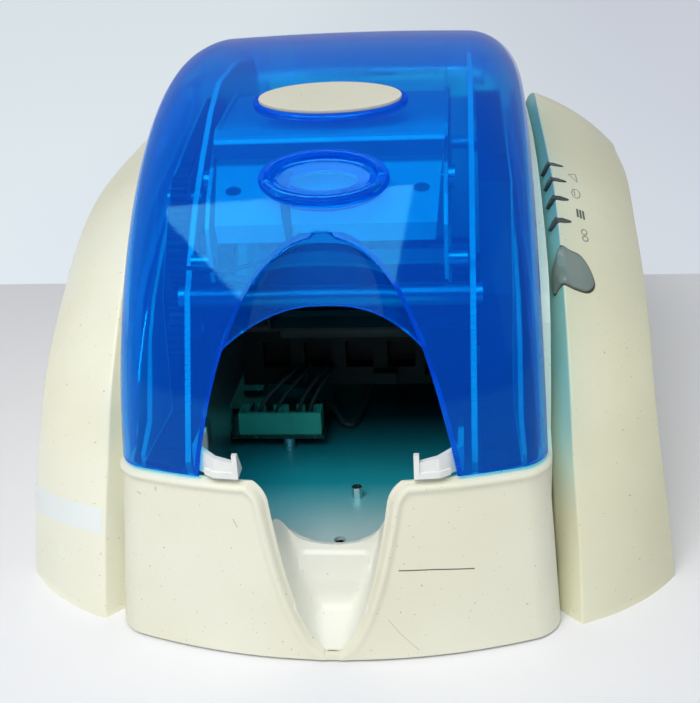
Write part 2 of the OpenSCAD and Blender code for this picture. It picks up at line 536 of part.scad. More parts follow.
// A lead rises out of its socket and bends back to the block
function lead_route(x0) = [for (i = [0:14]) let (q = i / 14) [mix(x0, 4 + x0 * 0.7, q * q * (3 - 2 * q)),
    mix(86.5, 106, pow(q, 1.4)), board_z + 4.2 + 20 * sin(90 * pow(q, 0.8)) - 5 * q * (1 - q)]];
deck_lead_points = [[-15, 112, 38.6], [-11, 108, 38], [-6.5, 102, 33.4], [-2.2, 101, 32.4], [-0.2, 108, 32],
    [1.4, 118, 33], [3.6, 127, 38], [5.5, 131, 45], [7, 132, 51]];
module board_leads() color(dark) seated() {
    for (x = [-41, -33.5, -24, -19]) lead(lead_route(x), 0.9, 0.9);
    lead([for (i = [0:24]) through(deck_lead_points, i / 3)], 1.3, 1.3);
}
module engine_block() color(dark) seated() {
    difference() {
        translate([-49.2, 105, 50]) cube([98.4, 35, 28]);
        for (x = [-40, -22, -4, 14]) translate([x, 103, 58]) cube([12, 10, 12]);
        translate([30, 103, 54]) cube([14, 6, 20]);
        translate([-46, 112, 70]) cube([92, 22, 12]);
    }
    translate([36.8, 105, 66]) rotate([90, 0, 0]) cylinder(h = 1.6, r = 2, $fn = 24);
    for (x = [-30, 8]) translate([x, 100, 52]) cube([10, 6, 5]);
}
module guide_sheet(from, to) {
    translate([-card_w / 2 - 3, from, card_z - 1.8]) cube([card_w + 6, to - from, 1]);
    both_sides() translate([card_w / 2 + 2, from, card_z - 1.8]) cube([1, to - from, 5]);
}
module front_card_guide() color(dark) seated() {
    difference() {
        union() {
            guide_sheet(66, 104);
            translate([-49.2, 70, card_z - 1.8]) cube([98.4, 6, 1]);
            translate([-49.2, 96, card_z - 1.8]) cube([98.4, 4, 1]);
        }
        translate([-card_w / 2 - 1, front_roller_v - 5, 80]) cube([card_w + 2, 10, 20]);
    }
}
module rear_card_guide() color(dark) seated() {
    difference() {
        union() {
            guide_sheet(120, 246.8);
            translate([-49.2, 130, card_z - 1.8]) cube([98.4, 6, 1]);
            translate([-49.2, 180, card_z - 1.8]) cube([98.4, 6, 1]);
        }
        translate([-card_w / 2 - 1, rear_roller_v - 5, 80]) cube([card_w + 2, 10, 20]);
        translate([-33, 191.8, 80]) cube([66, 2, 9.1]);
    }
}
module card_hopper() color(pale) seated() {
    both_sides() translate([card_w / 2 + 1.5, 250.6, card_z - 1]) cube([2, hood_back - 255, 158 - card_z]);
    difference() {
        translate([-card_w / 2 - 3.5, 250.6, card_z - 3]) cube([card_w + 7, hood_back - 255, 2.2]);
        translate([-12, 280, 80]) cube([24, 40, 20]);
    }
    for (x = [-24, 21]) translate([x, 314, deck_z]) cube([3, 6, card_z - deck_z - 2.9]);
    for (x = [-24, 21]) translate([x, 262, deck_z]) cube([3, 6, card_z - deck_z - 2.9]);
}
module ribbon_motor() color(dark) seated() {
    translate([-66, 62, 89]) cube([12.6, 20, 22]);
    rod(-53.4, -51.3, [72, 100], 7);
}
module drive_motor() color(dark) seated() {
    difference() {
        translate([15, 144, 45]) cube([34.2, 34, 33.5]);
        for (v = [144, 178], z = [45, 78.5]) translate([10, v, z]) rotate([45, 0, 0])
            cube([50, 3, 3]);
    }
    rod(49.2, 51.2, [160.8, 62], 5.9);
}
module gear_studs() color(steel) seated() {
    for (a = [lower_axle, small_axle]) {
        rod(-60.6, -51.3, a, 2.4);
        rod(-51.4, -48.8, a, 1.97);
        rod(-61.6, -60.5, a, 3.4);
    }
    rod(-49.3, -36.4, hub_axle, 2.4);
    rod(-51.2, -49.2, hub_axle, 1.97);
    rod(-36.5, -35.4, hub_axle, 3.4);
    for (p = [front_idler_at, rear_idler_at, motor_idler_at]) {
        rod(51.3, 58.6, p, 2.4);
        rod(58.5, 59.6, p, 3.4);
    }
}
front_idler_at = [(front_roller_v + platen_v) / 2, roller_z];
rear_idler_at = [(platen_v + rear_roller_v) / 2, roller_z];
motor_idler_at = [155.153, 72.588];
pinion_at = [160.8, 62];
module panel_lights() color(dark) seated() {
    for (t = light_places) light(t, 0);
}
module control_button() color([0.42, 0.48, 0.46]) seated() {
    button_shape(-4.4, 1.5, 1);
}
module power_inlet() color(dark) seated() {
    difference() {
        union() {
            translate([-58, 344, 22]) cube([24, 1.3, 22]);
            translate([-55.8, 330, 24.2]) cube([19.6, 14.4, 17.6]);
        }
        translate([-46, 347, 33]) rotate([90, 0, 0]) cylinder(h = 14, r = 6.2, $fn = 40);
    }
    translate([-46, 345, 33]) rotate([90, 0, 0]) cylinder(h = 15, r = 1.3, $fn = 24);
}
module data_socket() color(steel) seated() {
    difference() {
        translate([-23.8, 328, 26.2]) cube([13, 16.6, 12]);
        translate([-22.3, 332, 27.7]) cube([10, 20, 9]);
    }
    translate([-19.8, 331, 30.5]) cube([5, 12, 3.2]);
}
module power_switch() color(dark) seated() {
    difference() {
        translate([12.4, 334, 24.4]) cube([20.2, 8.4, 14.2]);
        translate([14, 336, 26]) cube([17, 12, 11]);
        rod(10, 40, [339.2, 31.5], 1.6);
    }
    difference() {
        union() {
            translate([10.4, 344, 22.4]) cube([24.2, 1.2, 18.2]);
            translate([12.4, 341, 24.4]) cube([20.2, 3.2, 14.2]);
        }
        translate([14, 330, 26]) cube([17, 20, 11]);
    }
}
module switch_rocker() color(dark) seated() {
    plate(14.5, 30.5, [[339, 26.8], [343.4, 26.6], [344.3, 31.5], [343.4, 36.4], [339, 36.2]]);
    rod(13.2, 31.8, [339.2, 31.5], 1.54);
}
module lid() color(blue) seated() {
    difference() {
        union() {
            shell(lid_grid, inside(lid_grid, lid_wall), [[0, 4, 10, 10 + lid_mid_cells]]);
            on_lid(27) translate([0, 0, -2]) linear_extrude(5.2) polygon(oval(22.8, 11));
            on_lid(59) translate([0, 0, -4]) linear_extrude(4.5) polygon(oval(badge_half + 2.1, 10.7));
            both_sides() plate(54.8, 58, [[227.6, 158], [232, 155.4], [236, 158], [236, 161.6],
                [234.2, 165.8], [224, 170], [222, 168.4]]);
        }
        on_lid(27) translate([0, 0, -12]) linear_extrude(30) polygon(oval(18.6, 8.4));
        on_lid(59) translate([0, 0, 0.2]) linear_extrude(8) polygon(oval(badge_half + 0.3, 9.1));
        rod(-60, 60, hinge, 2.05);
    }
}
module lid_badge() color(cream) seated() {
    on_lid(59) translate([0, 0, 0.2]) linear_extrude(1.3) polygon(oval(badge_half, 8.8));
}
module release_pad() color(blue) seated() {
    on_lid(27) {
        translate([0, 0, -2]) linear_extrude(3.6) polygon(oval(18.25, 8.05));
        translate([0, 0, -2.3 - pad_gap - 1.6]) linear_extrude(1.6) polygon(oval(20.4, 10));
        translate([0, 0, -5]) linear_extrude(4) polygon(oval(12, 4));
    }
}
module lid_hinge_pins() color(steel) seated() {
    both_sides() rod(50.2, 59.4, hinge, 2);
    both_sides() rod(16.4, 27, [334.4, 163.6], 1.5);
    both_sides() rod(58.6, 60.2, hinge, 3);
}
carrier_arm = [[24.6, 144], [31.4, 152.9], [43.2, 162.6], [56, 172], [100, 177.5], [140, 170], [158, 150],
    [158, 138], [146, 134], [122, 120], [118, 97], [102, 97], [100, 122], [84, 140], [60, 146], [46, 144],
    [36, 134], [33.5, 123.6], [27.4, 123.6], [25, 134]];
module head_carrier() color(steel) seated() {
    difference() {
        union() {
            both_sides() plate(40.6, 42, carrier_arm);
            difference() {
                plate(-41, 41, [[24, 139], [24, 145.2], [46, 163.2], [46.75, 168.4], [47.5, 169.7],
                    [49, 170.6], [100, 176], [100, 174.6], [50.2, 169.2], [48.8, 168.6], [48.1, 167.6],
                    [47.4, 162.4], [25.4, 144.6], [25.4, 139]]);
                both_sides() translate([0, 48, 0]) rotate([90, 0, 0]) linear_extrude(26)
                    polygon([[40.2, 163.4], [41.2, 163.4], [41.2, 138], [37.6, 138]]);
            }
            translate([-41, 102, 105.4]) cube([82, 16, 1.4]);
            rod(-41, 41, carrier_pivot, 4);
        }
        for (x = [-33, 33]) translate([x, 35.4, 154.3]) rotate([39, 0, 0]) linear_extrude(8, center = true)
            polygon(oval(2.9, 2, 24));
        rod(-60, 60, carrier_pivot, 2.55);
        translate([-15.8, 39.5, 158]) rotate([39, 0, 0]) cube([7, 5.4, 9], center = true);
        both_sides() rod(38, 45, [28.6, 131], 1.6);
    }
}
module carrier_shaft() color(steel) seated() {
    rod(-52.4, 52.4, carrier_pivot, 2.5);
    both_sides() rod(51.6, 53.4, carrier_pivot, 4.2);
}
module carrier_pins() color(steel) seated() {
    both_sides() {
        rod(40.4, 48.7, [28.6, 131], 1.55);
        rod(42, 48.6, [28.6, 131], 2.6);
        pan_screw(42, [44, 156], 1);
    }
}
module thermal_head() color(dark) seated() {
    translate([-34, 103, 96]) cube([68, 14, 9.4]);
    translate([-32, 105.5, card_z + 1.2]) cube([64, 8, 3]);
}
head_route = [[-17, 47, 155], [-16.3, 42.4, 156], [-15.6, 38, 157.3], [-14.8, 33, 154.1], [-14, 28.5, 150.4],
    [-13, 23.5, 146.2], [-12.3, 21.6, 142], [-14.5, 21, 138], [-22, 20.8, 133.6], [-32, 21, 130.8],
    [-39, 21.3, 130.1], [-47, 22, 130.8], [-54, 24.5, 130.4]];
module head_lead() color(dark) seated() {
    lead([for (i = [0:36]) through(head_route, i / 3)], 1.6, 0.7);
}
lower_turn = direction(lower_axle, takeup_axle);
takeup_turn = meshing(lower_axle, 31, lower_turn, takeup_axle, 29);
small_turn = meshing(takeup_axle, 29, takeup_turn, small_axle, 17);
module lower_ribbon_gear() color([0.1, 0.2, 0.5]) seated() {
    gear(-59, -52.6, lower_axle, 31, ribbon_module, lower_turn, 2.46);
}
module takeup_gear() color([0.1, 0.2, 0.5]) seated() {
    gear(-59, -52.6, takeup_axle, 29, ribbon_module, takeup_turn, 2);
    rod(-58, -36, takeup_axle, 2.99);
    difference() {
        rod(-48.9, -37, takeup_axle, 8);
        for (a = [0:60:300]) translate([-50, takeup_axle[0], takeup_axle[1]]) rotate([a, 0, 0])
            translate([0, -1, 6.4]) cube([16, 2, 3]);
    }
}
module small_ribbon_gear() color(dark) seated() {
    gear(-59, -52.6, small_axle, 17, ribbon_module, small_turn, 2.46);
}
module supply_hub() color(white) seated() {
    difference() {
        rod(-48.9, -37, hub_axle, 8);
        rod(-50, -30, hub_axle, 2.46);
        for (a = [0:60:300]) translate([-50, hub_axle[0], hub_axle[1]]) rotate([a, 0, 0])
            translate([0, -1, 6.4]) cube([16, 2, 3]);
    }
}
front_turn = 0;
front_idler_turn = meshing([front_roller_v, roller_z], 20, front_turn, front_idler_at, 15);
platen_turn = meshing(front_idler_at, 15, front_idler_turn, [platen_v, roller_z], 20);
rear_idler_turn = meshing([platen_v, roller_z], 20, platen_turn, rear_idler_at, 25);
rear_turn = meshing(rear_idler_at, 25, rear_idler_turn, [rear_roller_v, roller_z], 20);
motor_idler_turn = meshing([rear_roller_v, roller_z], 20, rear_turn, motor_idler_at, 18);
pinion_turn = meshing(motor_idler_at, 18, motor_idler_turn, pinion_at, 12);
module roller(v, turn) {
    rod(-52.6, 57.6, [v, roller_z], 2.95);
    rod(-card_w / 2 - 0.5, card_w / 2 + 0.5, [v, roller_z], roller_d / 2 - 0.4);
    gear(52.4, 57.4, [v, roller_z], 20, drive_module, turn, 2.9);
}
module platen_roller() color(dark) seated() {
    roller(platen_v, platen_turn);
}
module front_roller() color(dark) seated() {
    roller(front_roller_v, front_turn);
}
module rear_roller() color(dark) seated() {
    roller(rear_roller_v, rear_turn);
}
module front_idler() color(white) seated() {
    gear(52.4, 57.4, front_idler_at, 15, drive_module, front_idler_turn, 2.46);
}
module rear_idler() color(white) seated() {
    gear(52.4, 57.4, rear_idler_at, 25, drive_module, rear_idler_turn, 2.46);
}
module motor_idler() color(white) seated() {
    gear(52.4, 57.4, motor_idler_at, 18, drive_module, motor_idler_turn, 2.46);
}
module motor_pinion() color(steel) seated() {
    gear(52.4, 57.4, pinion_at, 12, drive_module, pinion_turn, 1.4);
    rod(51.6, 58.6, pinion_at, 1.5);
}
module feeder_cover() color(cream) seated() {
    difference() {
        union() {
            translate([-card_w / 2 - 6, 251, 161.4]) cube([card_w + 12, 79, 2.4]);
            both_sides() plate(22, 26, [[328, 161.4], [334.4, 161.3], [336.9, 163.6], [334.4, 166],
                [328, 163.8]]);
        }
        rod(-40, 40, [334.4, 163.6], 1.56);
        translate([-12, 249, 160]) cube([24, 5, 2.6]);
    }
}
module card_weight() color(dark) seated() {
    translate([-card_w / 2, 254, card_z - 0.4]) cube([card_w, 80, 4]);
    translate([-10, 290, card_z + 3]) cube([20, 8, 10]);
}

base_tray();
feet();
front_shell();
finger_scoop();
left_side_panel();
right_side_panel();
left_body_wall();
right_body_wall();
left_bay_liner();
right_bay_liner();
rear_hood();
rear_panel();
floor_deck();
deck_standoff();
left_chassis_plate();
right_chassis_plate();
rear_bulkhead();
front_bar();
bar_screws();
left_card_rail();
right_card_rail();
main_board();
board_posts();
board_sockets();
board_leads();
engine_block();
front_card_guide();
rear_card_guide();
card_hopper();
ribbon_motor();
drive_motor();
gear_studs();
panel_lights();
control_button();
power_inlet();
data_socket();
power_switch();
switch_rocker();
lid();
lid_badge();
release_pad();
lid_hinge_pins();
head_carrier();
carrier_shaft();
carrier_pins();
thermal_head();
head_lead();
lower_ribbon_gear();
takeup_gear();
small_ribbon_gear();
supply_hub();
platen_roller();
front_roller();
rear_roller();
front_idler();
rear_idler();
motor_idler();
motor_pinion();
feeder_cover();
card_weight();
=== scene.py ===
"""Looks of the desktop card printer: finer shells for the clear blue lid, the front shell, the scoop and the
side panels, finishes for every solid, a pale table and the camera of the photograph."""

import json
import math

import bmesh
import bpy
import numpy as np
from mathutils import Matrix, Vector


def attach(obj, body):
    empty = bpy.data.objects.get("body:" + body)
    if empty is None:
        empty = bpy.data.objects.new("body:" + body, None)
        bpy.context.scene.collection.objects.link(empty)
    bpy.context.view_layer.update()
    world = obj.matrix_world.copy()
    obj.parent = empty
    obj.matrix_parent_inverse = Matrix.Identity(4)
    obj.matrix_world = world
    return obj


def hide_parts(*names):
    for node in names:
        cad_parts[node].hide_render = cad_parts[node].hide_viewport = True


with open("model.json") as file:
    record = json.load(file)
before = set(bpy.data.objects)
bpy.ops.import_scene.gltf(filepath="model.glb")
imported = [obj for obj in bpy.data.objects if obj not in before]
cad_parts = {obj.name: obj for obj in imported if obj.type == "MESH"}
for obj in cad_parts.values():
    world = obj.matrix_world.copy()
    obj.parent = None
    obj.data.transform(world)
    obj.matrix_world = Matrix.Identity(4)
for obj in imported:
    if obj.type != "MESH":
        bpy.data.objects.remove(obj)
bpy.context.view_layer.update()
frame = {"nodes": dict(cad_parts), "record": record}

MM = 0.001
# Depths below are measured back from the front corners of the side panels, as in the part's source
MID_DEPTH = 160.0
PANEL_BACK = 340
# Height of the seam between the front shell and the lid
SEAM = 67
LID_CROWN = 195.5
LID_WALL = 2.3
SHELL_WALL = 2.6
PANEL_WALL = 2.8
SCOOP_WALL = 2
OTHER_SIDE = [-1, 1, 1]


# Sums with numbers and points
def unit(a):
    a = np.asarray(a, float)
    n = np.linalg.norm(a, axis=-1, keepdims=True)
    return a / np.where(n > 1e-9, n, 1)


def mix(a, b, q):
    return a + (b - a) * q


def clamped(q):
    return min(1, max(0, q))


def smooth(q):
    """Eases a share from 0 to 1 in and out."""
    return q * q * (3 - 2 * q)


def sin_d(a):
    return math.sin(math.radians(a))


def cos_d(a):
    return math.cos(math.radians(a))


def eased_run(a, b, c, d, q):
    """Place q on the smooth run from b to c, between the neighbours a and d."""
    return (2 * b + (c - a) * q + (2 * a - 5 * b + 4 * c - d) * q * q + (3 * b - a - 3 * c + d) * q ** 3) / 2


def through(table, t):
    """Smooth line through a table of points, at place t."""
    i = int(min(math.floor(t), len(table) - 2))
    return eased_run(table[max(i - 1, 0)], table[i], table[i + 1], table[min(i + 2, len(table) - 1)], t - i)


def corner(x, w, r):
    """How far a round corner of radius r, which ends at half width w, has fallen back at x."""
    q = max(0, abs(x) - w + r)
    return r - math.sqrt(max(0, r * r - q * q))


def placed(points):
    """Millimetres, measured from the panel corners, to metres in the row frame."""
    p = np.asarray(points, float) - [0, MID_DEPTH, 0]
    return p * MM


def mirrored(line):
    """The same points on the other side, in the opposite order."""
    return [p * OTHER_SIDE for p in line[::-1]]


# Meshes
def new_object(name, data):
    obj = bpy.data.objects.new(name, data)
    bpy.context.scene.collection.objects.link(obj)
    return obj


def make(name, points, faces, body, finish, smooth_angle, slot=None, replaces=()):
    """A closed piece that rides on a body and may stand in for some of the part's nodes."""
    mesh = bpy.data.meshes.new(name)
    mesh.from_pydata([tuple(p) for p in placed(points)], [], [tuple(f) for f in faces])
    mesh.validate()
    solid = bmesh.new()
    solid.from_mesh(mesh)
    if solid.calc_volume(signed=True) < 0:
        bmesh.ops.reverse_faces(solid, faces=solid.faces)
    solid.to_mesh(mesh)
    solid.free()
    mesh.shade_smooth()
    mesh.set_sharp_from_angle(angle=math.radians(smooth_angle))
    obj = new_object(name, mesh)
    mesh.materials.append(finish.mat)
    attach(obj, body)
    for node in replaces:
        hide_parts(node)
    return obj


def grid_normals(g):
    """Normals of a grid of points, each from its neighbours."""
    a = np.zeros_like(g)
    b = np.zeros_like(g)
    a[1:-1] = g[2:] - g[:-2]
    a[0] = g[1] - g[0]
    a[-1] = g[-1] - g[-2]
    b[:, 1:-1] = g[:, 2:] - g[:, :-2]
    b[:, 0] = g[:, 1] - g[:, 0]
    b[:, -1] = g[:, -1] - g[:, -2]
    n = np.cross(b, a)
    size = np.linalg.norm(n, axis=-1)
    # Where the grid is pinched to a point, the next row's normal serves
    for r in range(len(g) - 2, -1, -1):
        flat = size[r] < 1e-3
        n[r][flat] = n[r + 1][flat]
        size[r] = np.linalg.norm(n[r], axis=-1)
    return unit(n)


def solid_cells(grid, open_rows, side, gap):
    """Which cells of a grid are solid: all but the middle ones, gap cells wide, of the open rows."""
    rows, columns = grid.shape[0] - 1, grid.shape[1] - 1
    return [[not (r in open_rows and side - 1 <= c < side - 1 + gap) for c in range(columns)]
            for r in range(rows)]


def every_cell(grid):
    return np.ones((grid.shape[0] - 1, grid.shape[1] - 1), bool)


def shell_mesh(outer, inner, full):
    """Closed shell between two grids; full says which cells are solid."""
    nr, nc = outer.shape[:2]
    m = nr * nc
    points = np.concatenate([outer.reshape(-1, 3), inner.reshape(-1, 3)])
    faces = []

    def cell(r, c):
        return 0 <= r < nr - 1 and 0 <= c < nc - 1 and full[r][c]

    for r in range(nr - 1):
        for c in range(nc - 1):
            if not full[r][c]:
                continue
            a, b, d, e = r * nc + c, r * nc + c + 1, (r + 1) * nc + c + 1, (r + 1) * nc + c
            faces.append((a, e, d, b))
            faces.append((a + m, b + m, d + m, e + m))
            if not cell(r - 1, c):
                faces.append((a, b, b + m, a + m))
            if not cell(r + 1, c):
                faces.append((d, e, e + m, d + m))
            if not cell(r, c - 1):
                faces.append((e, a, a + m, e + m))
            if not cell(r, c + 1):
                faces.append((b, d, d + m, b + m))
    used = sorted({i for f in faces for i in f})
    place = {v: i for i, v in enumerate(used)}
    return points[used], [tuple(place[i] for i in f) for f in faces]


def rounded(line, corners, radius):
    """A polyline with the given corners turned into short curves."""
    out = []
    for i, p in enumerate(line):
        if i in corners:
            r = radius[corners.index(i)]
            back = p + unit(line[i - 1] - p) * min(r, 0.45 * np.linalg.norm(line[i - 1] - p))
            ahead = p + unit(line[i + 1] - p) * min(r, 0.45 * np.linalg.norm(line[i + 1] - p))
            for q in np.linspace(0, 1, 5):
                out.append((1 - q) ** 2 * back + 2 * q * (1 - q) * p + q * q * ahead)
        else:
            out.append(p)
    return np.array(out)


def stack_faces(rings, count, closed=True):
    """Faces of stacked rings: walls and two caps, or walls alone with the last ring joined to the first."""
    faces = []
    for i in range(rings - 1 if closed else rings):
        j = (i + 1) % rings
        for k in range(count):
            l = (k + 1) % count
            faces.append((i * count + k, i * count + l, j * count + l, j * count + k))
    if closed:
        faces.append(tuple(range(count))[::-1])
        faces.append(tuple(range((rings - 1) * count, rings * count)))
    return faces


def oval_solid(name, frame_at, rings, body, finish, slot=None, replaces=(), count=96, closed=True):
    """Rings of (half length, half width, height and perhaps lean) round an oval."""
    origin, x, y, z = frame_at
    points = []
    for a, b, h, *lean in rings:
        for k in range(count):
            t = 2 * math.pi * k / count
            height = h + sum(lean) * b * math.sin(t)
            points.append(origin + x * a * math.cos(t) + y * b * math.sin(t) + z * height)
    faces = stack_faces(len(rings), count, closed)
    return make(name, np.array(points), faces, body, finish, 40, slot, replaces)


# The lid follows the part's source, but the edge of its web lies a little lower, as in the photograph
# Place s runs from 0 at its foot to 1 at the crown and 2 at its back edge
LID_TURN = 120
LID_REACH = 136
LID_TOP_RUN = 116
LID_TOP_CURVE = 500
# Each at the foot and at the crown
LID_HALF = 76, 71.5
LID_SAG = 16, 2
LID_ROUND = 9, 22


def lid_middle(s):
    """Depth and height of the lid's middle line."""
    if s <= 1:
        return np.array([LID_TURN - LID_REACH * cos_d(90 * s), SEAM + (LID_CROWN - SEAM) * sin_d(90 * s)])
    v = LID_TURN + (s - 1) * LID_TOP_RUN
    return np.array([v, LID_CROWN - (v - LID_TURN) ** 2 / LID_TOP_CURVE])


def lid_inward(s):
    """Direction in depth and height from the middle line into the lid."""
    if s <= 1:
        return unit([cos_d(90 * s) / LID_REACH, -sin_d(90 * s) / (LID_CROWN - SEAM)])
    return unit([-(s - 1) * LID_TOP_RUN * 2 / LID_TOP_CURVE, -1])


def lid_half(s):
    """Half width."""
    return mix(*LID_HALF, sin_d(90 * s)) if s <= 1 else LID_HALF[1] + 1.2 * (s - 1) ** 1.5


def lid_sag(s):
    """How much lower the sides lie than the middle line."""
    return mix(*LID_SAG, max(0, sin_d(90 * s)) ** 1.2) if s <= 1 else LID_SAG[1]


def lid_round(s):
    """Radius between the top and the skirt."""
    return mix(*LID_ROUND, sin_d(90 * s)) if s <= 1 else LID_ROUND[1]


def lid_skirt(s):
    """Length of the skirt."""
    return 5 + 24 * sin_d(90 * s) + 6 * sin_d(90 * s) ** 2 if s <= 1 else 35 - 10 * (s - 1)


def lid_point(s, x, d):
    """The point x to the side and d below the middle line."""
    p, n = lid_middle(s), lid_inward(s)
    return np.array([x, p[0] + n[0] * d, p[1] + n[1] * d])


def lid_drop(s, x):
    """How far the lid's surface lies below the middle line at x to the side."""
    w = lid_half(s)
    return lid_sag(s) * x * x / w / w + corner(x, w, lid_round(s))


ARCH_HALF = 44.5
ARCH_RISE = 78


def arch_half(z):
    """Half width of the opening under the lid's front arch."""
    u = max(0, (z - SEAM) / ARCH_RISE)
    return 0 if u >= 1 else ARCH_HALF * math.sqrt(1 - u ** 1.9) * (1 - 0.28 * u * (1 - u))


def height_place(z):
    """Place s of a height on the front arc."""
    return math.degrees(math.asin((z - SEAM) / (LID_CROWN - SEAM))) / 90


LID_FOOT = 66.1
# A web closes the top of the arch: its lowest and highest row, its depth, and the height and rise of its edge
WEB_FROM = 112
WEB_TO = 144.6
WEB_DEPTH = 13
WEB_EDGE = 119.6
WEB_EDGE_RISE = 25.4
OPEN_LID_ROWS = 45
WEB_CELLS = 44


def lid_grids():
    """Outer and inner grid of the lid, from its foot over the crown to the back, and its solid cells."""
    heights = [*np.linspace(LID_FOOT, WEB_FROM, OPEN_LID_ROWS + 1), *np.linspace(WEB_FROM + 0.8, WEB_TO, 42)]
    places = [height_place(z) for z in heights]
    places += [*np.linspace(height_place(WEB_TO), 1, 62)[1:], *np.linspace(1, 2, 40)[1:]]
    rows = []
    for k, s in enumerate(places):
        arch = k < len(heights)
        z = heights[k] if arch else 0
        p = max(arch_half(z), 3) if arch else min(3 + 0.45 * (k - len(heights) + 1), 20)
        w, r = lid_half(s), lid_round(s)
        across = [*np.linspace(p, w - r, 30)[:-1], *(w - r + r * sin_d(a) for a in np.linspace(0, 90, 22))]
        half = [lid_point(s, x, lid_drop(s, x)) for x in across]
        half += [lid_point(s, w, lid_drop(s, w) + lid_skirt(s) * q) for q in (0.2, 0.4, 0.6, 0.8, 1)]
        edge = half[0]
        low = WEB_EDGE + (z - WEB_FROM) * WEB_EDGE_RISE / (SEAM + ARCH_RISE - WEB_FROM)
        web = []
        for j in range(1, WEB_CELLS):
            q = -1 + 2 * j / WEB_CELLS
            b = 1 - abs(q) ** 2.4
            if arch:
                web.append(np.array([q * p, mix(edge[1], WEB_DEPTH, b), mix(edge[2], low, b)]))
            else:
                web.append(lid_point(s, q * p, lid_drop(s, q * p)))
        rows.append(mirrored(half) + web + half)
    outer = np.array(rows)
    inner = outer - LID_WALL * grid_normals(outer)
    return outer, inner, solid_cells(outer, range(OPEN_LID_ROWS), len(half), WEB_CELLS)


def lid_frame(depth):
    """Origin and axes of a place on the middle line of the lid: sideways, up the slope and outwards."""
    s = math.degrees(math.acos((LID_TURN - depth) / LID_REACH)) / 90
    n = lid_inward(s)
    z = np.array([0, -n[0], -n[1]])
    x = np.array([1.0, 0, 0])
    return lid_point(s, 0, 0), x, np.cross(z, x), z


# The front shell; its face leans in and back as it rises and turns back in a round corner on either side
SHELL_HALF = 81.4
SHELL_LEAN_IN = 5.4
SHELL_FRONT = -24.7
SHELL_LEAN_BACK = 8.7
SHELL_BOW = 362
SHELL_ROUND = 9.5
SHELL_RETURN = 14
SHELL_TOP = 65.3
NOTCH_HALF = 21.2
NOTCH_FOOT = 2.8
NOTCH_RISE = 57
FLARE_FROM = 57.5
FLARE = 9.2


def shell_half(z):
    """Half width of the shell at a height."""
    return SHELL_HALF - SHELL_LEAN_IN * z / SEAM


def shell_front(z, x):
    """Depth of the shell's face."""
    middle = SHELL_FRONT + SHELL_LEAN_BACK * z / SEAM
    return middle + x * x / SHELL_BOW + corner(x, shell_half(z), SHELL_ROUND)


def shell_at(z, x, out):
    """A point of the face, raised by out."""
    w = shell_half(z)
    return np.array([x * (w + out) / w, shell_front(z, x) - out, z])


def notch(z):
    """Half width of the finger notch at a height."""
    if z <= NOTCH_FOOT:
        return 0
    u = (z - NOTCH_FOOT) / NOTCH_RISE
    flare = FLARE - math.sqrt(max(0, FLARE ** 2 - (z - FLARE_FROM) ** 2)) if z > FLARE_FROM else 0
    return NOTCH_HALF * math.sqrt(u) * (1.14 - 0.1 * u) + flare


# Free edge of the shell: up the side of the notch, then outwards along the top
RIM_LINE = np.array([[notch(z), z] for z in np.linspace(3, SHELL_TOP, 260)] +
                    [[x, SHELL_TOP] for x in np.linspace(notch(SHELL_TOP) + 0.2, 84, 160)])
ROLL_DEEP = 1.9
ROLL_WIDE = 0.75
BEAD_AT = 2.2
BEAD_WIDE = 1.5


def rim_out(x, z):
    """How far the face stands out beside its free edge: a rolled edge, then a bead that is lower below."""
    d = math.sqrt(np.min(np.sum((RIM_LINE - [abs(x), z]) ** 2, axis=1)))
    bead = 0.35 + 0.65 * clamped((z - 4) / 30)
    return bead * math.exp(-((d - BEAD_AT) / BEAD_WIDE) ** 2) - ROLL_DEEP * math.exp(-(d / ROLL_WIDE) ** 2)


def pressed(q):
    """The point of the inside face behind a point of the front or the side return."""
    w = shell_half(q[2])
    if q[1] > shell_front(q[2], w) + 1.6:
        depth = max(q[1], shell_front(q[2], w) + SHELL_WALL)
        return np.array([math.copysign(w - SHELL_WALL, q[0]), depth, q[2]])
    x = min(abs(q[0]), w) * np.sign(q[0])
    return shell_at(q[2], x, -SHELL_WALL)


CLOSED_SHELL_ROWS = 3
NOTCH_CELLS = 8
CLOSE_ROWS_FROM = 55


def front_shell_grids():
    """Outer and inner grid of the front shell, from its foot up, and its solid cells beside the notch."""
    rise = np.linspace(0, 1, 44)[1:]
    heights = [*np.linspace(1, NOTCH_FOOT, CLOSED_SHELL_ROWS + 1),
               *(NOTCH_FOOT + (CLOSE_ROWS_FROM - NOTCH_FOOT) * np.linspace(0.02, 1, 60) ** 1.6),
               *(CLOSE_ROWS_FROM + (SHELL_TOP - CLOSE_ROWS_FROM) * np.sin(rise * math.pi / 2))]
    rows = []
    for z in heights:
        w, r = shell_half(z), SHELL_ROUND
        p = max(notch(z), 3)
        across = [*(p + 7 * np.linspace(0, 1, 26) ** 1.3), *np.linspace(p + 7, w - r, 30)[1:]]
        half = [shell_at(z, x, rim_out(x, z)) for x in across]
        out = rim_out(w, z)
        half += [shell_at(z, w - r + r * sin_d(a), out) for a in np.linspace(0, 90, 16)[1:]]
        last = half[-1]
        half += [np.array([w + out, mix(last[1], SHELL_RETURN, q), z]) for q in (0.35, 0.7, 1)]
        web = [shell_at(z, (-1 + 2 * j / NOTCH_CELLS) * p, 0) for j in range(1, NOTCH_CELLS)]
        rows.append(mirrored(half) + web + half)
    outer = np.array(rows)
    inner = np.array([[pressed(q) for q in row] for row in outer])
    return outer, inner, solid_cells(outer, range(CLOSED_SHELL_ROWS, len(rows)), len(half), NOTCH_CELLS)


SCOOP_FOOT = 3.2
SCOOP_TOP = 33
PATCH_HALF = 10.2
PATCH_TOP = 28
PATCH_RISE = 1.15


